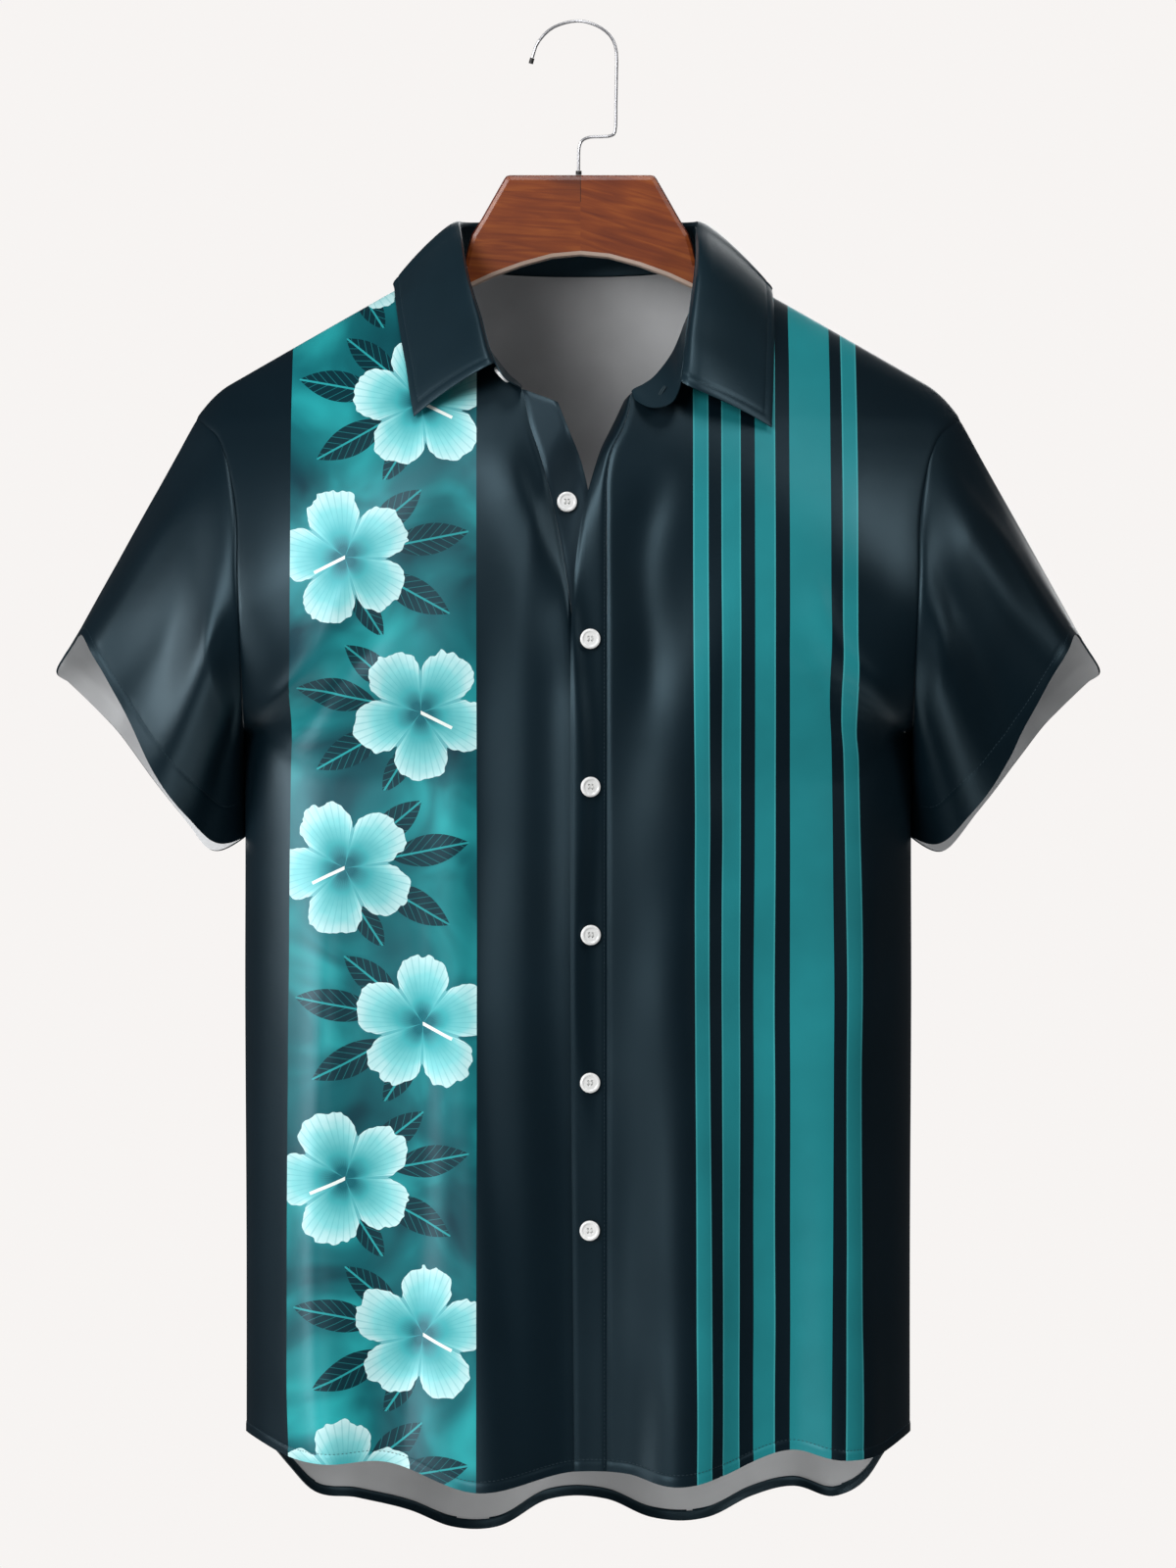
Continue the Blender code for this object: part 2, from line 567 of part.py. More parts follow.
def clear_of_body(points, clearance):
    """Moves points that come too near the body up over the shoulders, or out lower down."""
    x, y, z = (points[..., k] for k in range(3))
    facing = np.where(y < 0, -1, 1)
    front_height, front_share = ridge_height(x, -np.minimum(y, 0), -1)
    back_height, back_share = ridge_height(x, np.maximum(y, 0), 1)
    on_shoulder = np.where(y < 0, front_share, back_share) < RIDGE_SHARE
    up_by = np.where(y < 0, front_height, back_height) + clearance - z
    out_by = np.where(y < 0, depth(x, z, -1), depth(x, z, 1)) + clearance - np.abs(y)
    z = z + np.where(on_shoulder, np.maximum(up_by, 0), 0)
    y = y + np.where(on_shoulder, 0, np.maximum(out_by, 0)) * facing
    return np.stack([x, y, z], axis=-1)


def collar_edge(right_rows, left_rows):
    """The leaf's outer edge, in the order of neck_ring."""
    parts = []
    for columns, v in ((RIGHT_COLLAR, right_rows[::-1]), (LEFT_COLLAR, left_rows)):
        x, z = read(columns, "v", "x", v), read(columns, "v", "z", v)
        parts.append(on_body(x, z, -1))
    place = back_neck_places()[1:-1]
    reach = np.where(place < 0, -RIGHT_COLLAR["x"][0], LEFT_COLLAR["x"][0])
    x = np.sign(place) * read(BACK_COLLAR, "x", "edge", np.abs(place)) * reach
    parts.insert(1, on_body(x, read(BACK_COLLAR, "x", "z", np.abs(place)), 1))
    return clear_of_body(np.concatenate(parts), LAY)


def collar_leaf(name, material):
    """Turned-down collar: rolls over the band's top and falls to its outer edge."""
    rows = np.array(NECKLINE_ROWS)
    right_rows = rows[rows < RIGHT_COLLAR["v"][-1] + 1e-6]
    left_rows = np.append(rows[rows < LEFT_COLLAR["v"][-1] - 0.005], LEFT_COLLAR["v"][-1])
    base, rise, out = neck_ring(right_rows, left_rows)
    up = unit(rise)
    top = base + out * 2 * SEAM + rise + up * 2 * SEAM
    edge = collar_edge(right_rows, left_rows)
    fall = edge - top
    away = unit(np.cross(np.gradient(top, axis=0), fall))
    q = np.linspace(0, 1, COLLAR_ROWS + 1)[None, :, None]
    first = (top + up * COLLAR_ROLL + away * COLLAR_SWING)[:, None]
    second = (top + fall * COLLAR_BEND + away * COLLAR_CROWN)[:, None]
    grid = ((1 - q) ** 3 * top[:, None] + 3 * q * (1 - q) ** 2 * first
            + 3 * q * q * (1 - q) * second + q ** 3 * edge[:, None])
    grid[:, 3:] = clear_of_body(grid[:, 3:], LAY)
    normals = grid_normals(grid, 1)
    return wall(name, grid + normals * WALL / 2, grid - normals * WALL / 2, material)


# ---------------------------------------------------------------- buttons

def button(name, centre, facing, material):
    """A turned disc with a raised rim, its back on the cloth."""
    profile = ((0.0, 0.0), (BUTTON_RADIUS - 0.0006, 0.0), (BUTTON_RADIUS, 0.0007),
               (BUTTON_RADIUS, BUTTON_HEIGHT - 0.0004), (BUTTON_RADIUS - 0.0004, BUTTON_HEIGHT),
               (BUTTON_RADIUS - BUTTON_RIM, BUTTON_HEIGHT - 0.0002),
               (BUTTON_RADIUS - 1.6 * BUTTON_RIM, BUTTON_HEIGHT - BUTTON_DISH),
               (0.0, BUTTON_HEIGHT - BUTTON_DISH))
    facing = unit(np.array(facing, float))
    across = unit(np.cross(facing, np.array([0.0, 0.0, 1.0]) if abs(facing[2]) < 0.9
                           else np.array([1.0, 0.0, 0.0])))
    third = np.cross(facing, across)
    angle = np.linspace(0, 2 * math.pi, BUTTON_SIDES, endpoint=False)
    points = [centre + facing * profile[0][1]]
    for radius, height in profile[1:-1]:
        ring = (np.cos(angle)[:, None] * across + np.sin(angle)[:, None] * third) * radius
        points.extend(centre + facing * height + ring)
    points.append(centre + facing * profile[-1][1])
    rings = len(profile) - 2
    faces = []
    for k in range(BUTTON_SIDES):
        n = (k + 1) % BUTTON_SIDES
        faces.append((0, 1 + n, 1 + k))
        last = 1 + (rings - 1) * BUTTON_SIDES
        faces.append((last + k, last + n, len(points) - 1))
        for r in range(rings - 1):
            a = 1 + r * BUTTON_SIDES
            b = a + BUTTON_SIDES
            faces.append((a + k, a + n, b + n, b + k))
    return solid(name, np.array(points), faces, material)


def front_buttons(material):
    """One, left open, on the lower band at the neck and the rest on the upper band."""
    x, z = FIRST_FRONT_BUTTON
    places = [TOP_BUTTON] + [(x, z - k * BUTTON_SPACING) for k in range(FRONT_BUTTONS)]
    span = BUTTON_RADIUS
    for number, (x, z) in enumerate(places, start=1):
        around = np.array([(x, z), (x - span, z), (x + span, z), (x, z - span), (x, z + span)])
        points = on_body(around[:, 0], around[:, 1], -1, lift=SEAM)
        if number == 1:
            points = tucked(points)
        facing = unit(np.cross(points[2] - points[1], points[4] - points[3]))
        highest = np.max((points - points[0]) @ facing)
        centre = points[0] + facing * (highest + BUTTON_SHANK)
        button("button_%d" % number, centre, facing, material)


def stand_button(material):
    """Sewn near the neck band's right end, on the face that is turned down."""
    row, height = STAND_BUTTON
    base, rise, out = neck_front(RIGHT_SEAM, RIGHT_RISE, row + np.array([0.004, 0.0, -0.004]))
    facing = -unit(np.cross(base[2] - base[0], rise[1]))
    centre = base[1] + out[1] * 2 * SEAM + rise[1] * height + facing * 2 * SEAM
    button("button_collar", centre, facing, material)


# ---------------------------------------------------------------- hanger

def bar_side(sign):
    """Outline of one half, from the middle of the top edge out to the arm's tip and back."""
    arm_x = np.linspace(ARM_START, ARM_END, ARM_STEPS)
    arm_z = shoulder_line(arm_x) - BAR_CLEARANCE
    under_z = arm_z - ARM_DEPTH * (1 - ARM_TAPER * ramp(arm_x, 0.1, 0.2))
    x = np.concatenate([BAR_TOP["x"] + sign * BAR_OFFSET, arm_x, ARM_END + ARM_TIP["out"],
                        arm_x[-2::-1], BAR_UNDER["x"][::-1] + sign * BAR_OFFSET])
    z = np.concatenate([BAR_TOP["z"], arm_z, arm_z[-1] - ARM_TIP["drop"],
                        under_z[-2::-1], BAR_UNDER["z"][::-1]])
    return [(float(sign * px), float(pz)) for px, pz in zip(x, z)]


def hanger_bar(material):
    """Flat wooden bar: a raised neck and two arms under the shoulders, edges rounded off."""
    outline = bar_side(1) + bar_side(-1)[::-1][1:-1]
    return plate("hanger_bar", outline, BAR_THICKNESS, BAR_BEVEL, material)


def plate(name, outline, thickness, bevel, material):
    """An upright outline in X and Z, given its thickness along Y and rounded edges."""
    mesh = bpy.data.meshes.new(name)
    count = len(outline)
    points = [(x, -thickness / 2, z) for x, z in outline]
    points += [(x, thickness / 2, z) for x, z in outline]
    faces = [tuple(range(count)), tuple(reversed(range(count, 2 * count)))]
    faces += [(i, i + count, (i + 1) % count + count, (i + 1) % count) for i in range(count)]
    if signed_volume(np.array(points), faces) < 0:
        faces = [tuple(reversed(face)) for face in faces]
    mesh.from_pydata(points, [], faces)
    mesh.materials.append(material)
    piece = bpy.data.objects.new(name, mesh)
    bpy.context.collection.objects.link(piece)
    rounding = piece.modifiers.new("rounded edges", "BEVEL")
    rounding.width = bevel
    rounding.segments = 2
    rounding.limit_method = "ANGLE"
    rounding.angle_limit = math.radians(60)
    return piece


def hook_route(steps):
    """Smooth route through the hook's own points."""
    place = np.arange(len(HOOK["x"]), dtype=float)
    at = np.linspace(0, place[-1], steps)
    x, z = smooth(at, place, HOOK["x"]), smooth(at, place, HOOK["z"])
    return np.stack([x, np.zeros_like(x), z], axis=-1)


def rod(name, route, radius, material, detail=2):
    """Round wire along a route, with closed ends."""
    curve = bpy.data.curves.new(name, "CURVE")
    curve.dimensions = "3D"
    curve.bevel_depth = radius
    curve.bevel_resolution = detail
    curve.use_fill_caps = True
    spline = curve.splines.new("POLY")
    spline.points.add(len(route) - 1)
    for point, place in zip(spline.points, route):
        point.co = (*place, 1.0)
    curve.materials.append(material)
    piece = bpy.data.objects.new(name, curve)
    bpy.context.collection.objects.link(piece)
    return piece


def hanger_hook(steel, dark):
    """Bent wire, a dark cap on its free end and a dark ferrule where it enters the wood."""
    route = hook_route(46)
    rod("hanger_hook", route, WIRE_RADIUS, steel)
    end = unit(route[-1] - route[-2])
    cap = route[-1] + end * SEAM
    rod("hook_tip", [cap, cap + end * TIP_LENGTH], TIP_RADIUS, dark)
    foot = BAR_TOP["z"][0] + SEAM
    rod("hook_ferrule", [np.array([route[0][0], 0, foot]),
                         np.array([route[0][0], 0, route[0][2] - SEAM])], FERRULE_RADIUS, dark)


# ---------------------------------------------------------------- the shirt

def build():
    for old in list(bpy.data.objects):
        bpy.data.objects.remove(old, do_unlink=True)
    cloth = finish("navy_cloth", (0.0065, 0.015, 0.0225), 0.5)
    collar_cloth = finish("collar_cloth", (0.0075, 0.0165, 0.024), 0.5)
    band_cloth = finish("band_cloth", (0.007, 0.0155, 0.023), 0.5)
    pearl = finish("white_button", (0.83, 0.84, 0.84), 0.3)
    wood = finish("brown_wood", (0.30, 0.065, 0.016), 0.3)
    steel = finish("hook_steel", (0.72, 0.72, 0.72), 0.2, 1.0)
    dark = finish("dark_cap", (0.01, 0.01, 0.01), 0.5)

    back_panel("back", cloth)
    front_panel("front_right", RIGHT_SEAM, -1, cloth)
    front_panel("front_left", LEFT_SEAM, 1, cloth)
    front_band("band_button", RIGHT_SEAM, RIGHT_EDGE, False, band_cloth)
    front_band("band_buttonhole", LEFT_SEAM, LEFT_EDGE, True, band_cloth)
    sleeve("sleeve_right", -1, RIGHT_SLEEVE_FOLDS, cloth)
    sleeve("sleeve_left", 1, LEFT_SLEEVE_FOLDS, cloth)
    collar_stand("collar_stand", collar_cloth)
    collar_leaf("collar_leaf", collar_cloth)
    front_buttons(pearl)
    stand_button(pearl)
    hanger_bar(wood)
    hanger_hook(steel, dark)


build()
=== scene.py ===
import math

import bpy
import numpy as np
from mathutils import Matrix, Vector


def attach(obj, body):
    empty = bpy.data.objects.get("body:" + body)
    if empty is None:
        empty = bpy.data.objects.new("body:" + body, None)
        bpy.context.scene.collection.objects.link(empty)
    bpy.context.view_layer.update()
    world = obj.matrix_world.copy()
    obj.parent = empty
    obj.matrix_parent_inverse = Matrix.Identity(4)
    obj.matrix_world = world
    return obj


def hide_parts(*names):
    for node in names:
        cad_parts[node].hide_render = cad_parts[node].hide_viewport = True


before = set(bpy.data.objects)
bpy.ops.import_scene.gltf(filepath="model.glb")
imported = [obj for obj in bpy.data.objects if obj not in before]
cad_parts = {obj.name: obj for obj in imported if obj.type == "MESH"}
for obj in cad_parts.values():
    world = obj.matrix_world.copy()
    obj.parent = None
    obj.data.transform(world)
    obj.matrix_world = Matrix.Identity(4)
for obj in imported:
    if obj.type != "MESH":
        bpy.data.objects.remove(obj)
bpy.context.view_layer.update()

# ---------------------------------------------------------------- back panel
# One panel of thin navy polyester from the shoulder seams to the hem, a little longer
# than the fronts. Its inside is the unprinted grey reverse, with a narrow turned hem.


def table(names, *rows):
    """Rows of numbers, kept as one array for each named column."""
    return dict(zip(names.split(), np.array(rows, float).T))


def smooth(at, places, values):
    """Cubic through the table's points, held constant past both ends."""
    at = np.asarray(at, float)
    slopes = np.gradient(values, places, axis=0)
    i = np.clip(np.searchsorted(places, at, side="right") - 1, 0, len(places) - 2)
    width = places[i + 1] - places[i]
    s = np.clip((at - places[i]) / width, 0.0, 1.0)
    if values.ndim > 1:
        s, width = s[:, None], width[:, None]
    start = values[i] * (1 + 2 * s) + width * slopes[i] * s
    end = values[i + 1] * (3 - 2 * s) - width * slopes[i + 1] * (1 - s)
    return start * (1 - s) ** 2 + end * s ** 2


def read(columns, name, at):
    """One column of a table, read smoothly by its first."""
    return smooth(at, next(iter(columns.values())), columns[name])


def unit(vectors):
    """Each vector divided by its own length."""
    return vectors / np.linalg.norm(vectors, axis=-1, keepdims=True)


def ramp(value, start, end):
    """0 before start, 1 after end, eased between."""
    s = np.clip((value - start) / (end - start), 0.0, 1.0)
    return s * s * (3 - 2 * s)


# Space between sewn pieces, then the body's form: the shoulders' line, the section across
# and under them, and what is left of the depth at the armholes
SEAM = 0.00005
SHOULDER_PEAK = -0.1133
SHOULDER_SLOPE = 0.582
PEAK_ROUNDING = 0.030
TIP_START = 0.2136
TIP_CURVE = 21.0
NECK_POINT = 0.080
SHOULDER_TIP = 0.2346
SECTION_POWER = 2.3
ROUND_HEIGHT = 0.15
ROUND_POWER = 0.8
ARMHOLE_SHARE = 0.55
ARMHOLE_MIDDLE = -0.345
ARMPIT = -0.433
ARMHOLE_WIDENING = 0.06
ARMHOLE_END = 0.36
UNDERARM_BLUR = 0.030
FOLD_TOP = -0.40
FOLD_POWER = 1.5

SIDE = table("z half_width",
    (-0.9, 0.2035), (-0.75, 0.2035), (-0.6, 0.2043), (-0.45, 0.2045), (-0.4, 0.2055),
    (-0.34, 0.208), (-0.3, 0.2092), (-0.28, 0.2125), (-0.265, 0.2165), (-0.252, 0.2235),
    (-0.243, SHOULDER_TIP))
DEPTH = table("z front back",
    (-0.92, 0.112, 0.104), (-0.75, 0.112, 0.104), (-0.6, 0.113, 0.102), (-0.45, 0.113, 0.102),
    (-0.35, 0.108, 0.1), (-0.28, 0.101, 0.096), (-0.22, 0.094, 0.092), (-0.14, 0.086, 0.088))
FRONT_HEM = table("x out z",
    (-0.2035, 0, -0.861), (-0.174, 0.002, -0.8744), (-0.155, 0.008, -0.878),
    (-0.12, -0.007, -0.8762), (-0.061, 0.011, -0.894), (0, -0.005, -0.8815),
    (0.03, -0.001, -0.8827), (0.06, 0.011, -0.8904), (0.087, 0.004, -0.884),
    (0.13, -0.008, -0.8694), (0.161, 0.007, -0.8762), (0.184, 0.002, -0.8721), (0.2035, 0, -0.861))
BACK_HEM = table("x out z",
    (-0.2035, 0, -0.861), (-0.19, 0, -0.872), (-0.178, 0.001, -0.887), (-0.167, 0.003, -0.9),
    (-0.137, -0.004, -0.9073), (-0.104, 0, -0.916), (-0.078, 0.009, -0.927), (-0.05, 0.009, -0.927),
    (-0.018, -0.005, -0.9094), (0.018, -0.005, -0.9094), (0.046, 0.006, -0.9213),
    (0.08, 0.008, -0.921), (0.107, -0.002, -0.907), (0.133, -0.006, -0.9), (0.16, 0.005, -0.906),
    (0.179, 0.002, -0.893), (0.19, 0, -0.875), (0.2035, 0, -0.861))
OUTER_EDGE = table("v z",
    (0, -0.2429), (0.03, -0.252), (0.06, -0.264), (0.09, -0.279), (0.12, -0.297), (0.15, -0.318),
    (0.18, -0.339), (0.22, -0.364), (0.26, -0.388), (0.3, -0.409), (0.33, -0.422),
    (ARMHOLE_END, ARMPIT), (0.5, -0.525), (1, -0.861))
BACK_NECK = table("x z rise_x rise_y rise_z",
    (0, -0.1533, 0, -0.004, 0.03), (0.025, -0.1531, -0.0005, -0.004, 0.03),
    (0.05, -0.152, -0.002, -0.003, 0.0285), (0.07, -0.1497, -0.005, -0.0015, 0.025),
    (0.08, -0.1456, -0.0075, 0, 0.0205))

FOLD_COLUMNS = "x0 z0 x1 z1 width height lean bow"

# Folds of the back: both ends, half width, height (a trough is negative), lean and bow
BACK_FOLDS = table(FOLD_COLUMNS,
    (-0.085, -0.3, -0.07, -0.9, 0.02, 0.0045, 0.2, 0.006),
    (-0.04, -0.42, -0.018, -0.92, 0.016, -0.004, -0.2, -0.004),
    (0.02, -0.38, 0.046, -0.93, 0.018, 0.004, 0.3, 0.005),
    (0.085, -0.33, 0.082, -0.92, 0.017, 0.0035, -0.2, -0.006),
    (0.11, -0.35, 0.128, -0.9, 0.014, -0.004, 0.2, 0.004),
    (-0.125, -0.34, -0.14, -0.91, 0.015, -0.0045, -0.3, -0.003),
    (-0.175, -0.42, -0.12, -0.33, 0.011, 0.003, 0.2, 0.004),
    (0.18, -0.425, 0.115, -0.32, 0.012, 0.0032, -0.2, -0.005),
    (-0.06, -0.19, -0.13, -0.29, 0.016, -0.002, 0.1, 0.003),
    (0.062, -0.19, 0.135, -0.28, 0.015, -0.002, 0.1, -0.003))


def shoulder_line(x):
    """Height of the shoulder seam: a rounded peak at the neck, then an even slope outward."""
    x = np.abs(x)
    slope = SHOULDER_SLOPE * (np.sqrt(x * x + PEAK_ROUNDING ** 2) - PEAK_ROUNDING)
    return SHOULDER_PEAK - slope - TIP_CURVE * np.maximum(x - TIP_START, 0) ** 2


def depth(x, z, side):
    """Distance of the cloth from the plane of the side seams: the full depth, times a
    squared-off oval across, times a quarter round under the shoulders, plus the hem's waves.
    At the armhole part of the depth is left, fading out at the armpit; away from the armhole
    that change is averaged over more of the height."""
    half_width = read(SIDE, "half_width", z)
    blur = UNDERARM_BLUR * ramp(half_width - np.abs(x), 0.0, 0.045)
    left = np.zeros(np.broadcast(x, z).shape)
    for shift in np.linspace(-1, 1, 9):
        below = (ARMHOLE_MIDDLE - z - shift * blur) / (ARMHOLE_MIDDLE - ARMPIT)
        left = left + np.sqrt(1 - np.clip(below, 0, 1) ** 2) / 9
    share = ARMHOLE_SHARE * left
    across = np.clip(np.abs(x) / (half_width * (1 + ARMHOLE_WIDENING * left)), 0, 1)
    oval = (1 - across ** SECTION_POWER) ** (1 / SECTION_POWER)
    drop = np.clip((shoulder_line(x) - z) / ROUND_HEIGHT, 0, 1)
    rounding = (1 - (1 - drop) ** 2) ** ROUND_POWER
    full = read(DEPTH, "front" if side < 0 else "back", z)
    hem = FRONT_HEM if side < 0 else BACK_HEM
    lowest = read(hem, "z", x)
    fade = np.clip((FOLD_TOP - z) / (FOLD_TOP - lowest), 0, 1) ** FOLD_POWER
    return full * (share + (1 - share) * oval) * rounding + read(hem, "out", x) * fade


def on_body(x, z, side, lift=SEAM):
    """Points of the front (side -1) or back (side 1), moved out by lift along Y."""
    return np.stack([x, side * (depth(x, z, side) + lift), z], axis=-1)


def body_normal(x, z, side):
    """Outward direction, from the slopes of the depth measured over a short step."""
    step = 0.0015
    slope_x = (depth(x + step, z, side) - depth(x - step, z, side)) / (2 * step)
    slope_z = (depth(x, z + step, side) - depth(x, z - step, side)) / (2 * step)
    return unit(np.stack([-slope_x, side * np.ones_like(slope_x), -slope_z], axis=-1))


def folds(x, z, rows):
    """Sum of soft ridges and troughs: each is a bell across its line, wider on one side by
    its lean, wandering a little, bowed, and faded out over a third of its length at each end."""
    total = np.zeros(np.broadcast(x, z).shape)
    for k, (x0, z0, x1, z1, width, height, lean, bow) in enumerate(zip(*rows.values())):
        length = math.hypot(x1 - x0, z1 - z0)
        dx, dz = (x1 - x0) / length, (z1 - z0) / length
        along = ((x - x0) * dx + (z - z0) * dz) / length
        off = (x - x0) * dz - (z - z0) * dx
        off = off - bow * 4 * along * (1 - along) - 0.3 * width * np.sin(7 * along + 2.3 * k)
        reach = width * (1 + lean * np.tanh(off / width * 3))
        taper = ramp(along, 0, 0.33) * (1 - ramp(along, 0.8, 1.12))
        total += height * taper * np.exp(-(off / reach) ** 2)
    return total


def puckers(x, z):
    """Shallow unevenness: three crossing waves of 50 to 150 mm, each bent by a slower one."""
    return 0.00020 * (np.sin(52 * x + 23 * z + 1.6 * np.sin(31 * z))
                      + np.sin(43 * z - 71 * x + 1.3 * np.sin(47 * x + 1.0))
                      + 0.4 * np.sin(118 * x + 1.9 * np.sin(27 * z + 2.0)))


def fold_room(x, z, side):
    """How much of a fold is left: none at the shoulder, armhole and side seams."""
    half_width = read(SIDE, "half_width", z)
    return ramp(half_width - np.abs(x), 0.002, 0.030) * ramp(shoulder_line(x) - z, 0.004, 0.045)


EDGE_STEPS = np.array([0.0, 0.0008, 0.0016, 0.0026, 0.0040])
HEM_DEPTH = 0.0058
HEM_STEPS = np.array([0.0, 0.0006, 0.0016, 0.0030, 0.0044, 0.0052, HEM_DEPTH, 0.0064, 0.0076])


def spaced(length, step, first=EDGE_STEPS, last=EDGE_STEPS):
    """Places from 0 to 1 along a length: even, and closer together at either end."""
    middle = np.linspace(first[-1], length - last[-1],
                         max(2, int(round((length - first[-1] - last[-1]) / step))))
    return np.concatenate([first[:-1], middle, length - last[:-1][::-1]]) / length


def from_border(grid):
    """Distance of each point from the grid's first and last row and column, along the cloth."""
    down = np.linalg.norm(np.diff(grid, axis=0), axis=-1).cumsum(axis=0)
    down = np.concatenate([np.zeros_like(down[:1]), down])
    over = np.linalg.norm(np.diff(grid, axis=1), axis=-1).cumsum(axis=1)
    over = np.concatenate([np.zeros_like(over[:, :1]), over], axis=1)
    return down, down[-1:] - down, over, over[:, -1:] - over


def seam_dip(distance):
    """A sewn edge turns in: a bell-shaped dip of 0.7 mm within 2 mm of the seam."""
    return -0.0007 * np.exp(-(distance / 0.0017) ** 2)


def hem_roll(distance):
    """A turned hem stands 0.35 mm proud, with a groove of 0.3 mm under its line of stitches."""
    proud = 0.00035 * (1 - ramp(distance, HEM_DEPTH - 0.0010, HEM_DEPTH + 0.0012))
    return proud - 0.0003 * np.exp(-((distance - HEM_DEPTH) / 0.0007) ** 2)


# Wall of the cloth and of its turned hem; the grid's row under the hem's stitches; the
# panels' length and their grid's step down it and across
CLOTH, HEM_CLOTH = 0.0007, 0.0012
HEM_ROW = -7
PANEL_LENGTH, STEP_DOWN, STEP_ACROSS = 0.72, 0.0031, 0.0030
STITCH_PITCH = 0.0026
THREAD_RADIUS = 0.00021


def stitch_bars(line, out):
    """One short bar for each stitch of a seam: three diamond-shaped sections along the line,
    the middle one wide and proud of the cloth, both ends narrow and sunk into it."""
    along = np.concatenate([[0], np.linalg.norm(np.diff(line, axis=0), axis=1).cumsum()])
    middle = (np.arange(int(along[-1] / STITCH_PITCH)) + 0.5) * STITCH_PITCH
    at = middle[:, None] + STITCH_PITCH * np.array([-0.4, 0.0, 0.4])
    point, up = (np.stack([np.interp(at, along, way[:, k]) for k in range(3)], axis=-1)
                 for way in (line, out))
    up = unit(up)
    side = unit(np.cross(up, point[:, 2:] - point[:, :1]))
    wide = THREAD_RADIUS * np.array([0.45, 1.0, 0.45])[:, None, None]
    centre = point + up * THREAD_RADIUS * np.array([-0.5, 0.35, -0.5])[:, None]
    ring = (np.array([1, 0, -1, 0])[:, None] * side[:, :, None]
            + np.array([0, 1, 0, -1])[:, None] * up[:, :, None])
    return (centre[:, :, None] + wide * ring).reshape(-1, 12, 3)


def put_stitches(name, seams, finish):
    """All the stitches of some seams in one mesh, two spans of four sides and both ends each."""
    bars = np.concatenate([stitch_bars(line, out) for line, out in seams])
    side = np.arange(4)
    spans = [np.stack([k + side, k + (side + 1) % 4, k + 4 + (side + 1) % 4, k + 4 + side], axis=1)
             for k in (0, 4)]
    one = np.concatenate([*spans, [[3, 2, 1, 0]], [[8, 9, 10, 11]]])
    faces = (one[None] + 12 * np.arange(len(bars))[:, None, None]).reshape(-1, 4)
    points = bars.reshape(-1, 3)
    piece = put_mesh(name, points, faces, points[:, ::2], [finish], np.zeros(len(faces)), 180)
    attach(piece, "root")
    return piece


def border_loop(rows, columns, ring):
    """Point numbers along the open edges of a grid, as pairs from one to the next."""
    number = np.arange(rows * columns).reshape(rows, columns)
    if ring:
        top, bottom = number[0], number[-1][::-1]
        return np.concatenate([np.stack([top, np.roll(top, -1)], axis=1),
                               np.stack([bottom, np.roll(bottom, -1)], axis=1)])
    loop = np.concatenate([number[0, :-1], number[:-1, -1], number[-1, :0:-1], number[:0:-1, 0]])
    return np.stack([loop, np.roll(loop, -1)], axis=1)


def grid_faces(rows, columns, ring):
    """Four-sided faces of a grid of points, joined round where the grid is a ring."""
    number = np.arange(rows * columns).reshape(rows, columns)
    if ring:
        number = np.concatenate([number, number[:, :1]], axis=1)
    return np.stack([number[:-1, :-1], number[:-1, 1:], number[1:, 1:], number[1:, :-1]],
                    axis=-1).reshape(-1, 4)


def put_mesh(name, points, faces, uv, finishes, finish_of_face, sharp=40.0):
    """A smooth-shaded mesh of four-sided faces, with a UV map in metres of cloth."""
    mesh = bpy.data.meshes.new(name)
    mesh.from_pydata(points.tolist(), [], faces.tolist())
    mesh.polygons.foreach_set("material_index", finish_of_face.astype(np.int32))
    for finish in finishes:
        mesh.materials.append(finish)
    layer = mesh.uv_layers.new(name="cut")
    layer.data.foreach_set("uv", uv[faces.ravel()].astype(np.float32).ravel())
    mesh.validate()
    mesh.shade_smooth()
    mesh.set_sharp_from_angle(angle=math.radians(sharp))
    piece = bpy.data.objects.new(name, mesh)
    bpy.context.scene.collection.objects.link(piece)
    return piece


def cloth_shell(name, outer, inner, uv, finishes, lined=None, ring=False):
    """Thin closed wall: the outer grid, the inner grid behind it and a strip round their
    edges. lined marks the inner points that show the second finish, the cloth's reverse."""
    rows, columns = outer.shape[:2]
    count = rows * columns
    front = grid_faces(rows, columns, ring)
    wall = (outer - inner).reshape(-1, 3)
    corner = outer.reshape(-1, 3)
    facing = np.cross(corner[front[:, 1]] - corner[front[:, 0]],
                      corner[front[:, 3]] - corner[front[:, 0]])
    behind = front[:, ::-1] + count
    edge = border_loop(rows, columns, ring)
    rim = np.stack([edge[:, 1], edge[:, 0], edge[:, 0] + count, edge[:, 1] + count], axis=1)
    faces = np.concatenate([front, behind, rim])
    if np.sum(facing * wall[front[:, 0]]) < 0:
        faces = faces[:, ::-1]
    reverse = np.zeros(len(front), int)
    if lined is not None:
        reverse = lined.ravel()[front].all(axis=1).astype(int)
    finish = np.concatenate([np.zeros(len(front), int), reverse, np.zeros(len(rim), int)])
    points = np.concatenate([corner, inner.reshape(-1, 3)])
    return put_mesh(name, points, faces, np.tile(uv.reshape(-1, 2), (2, 1)), finishes, finish)


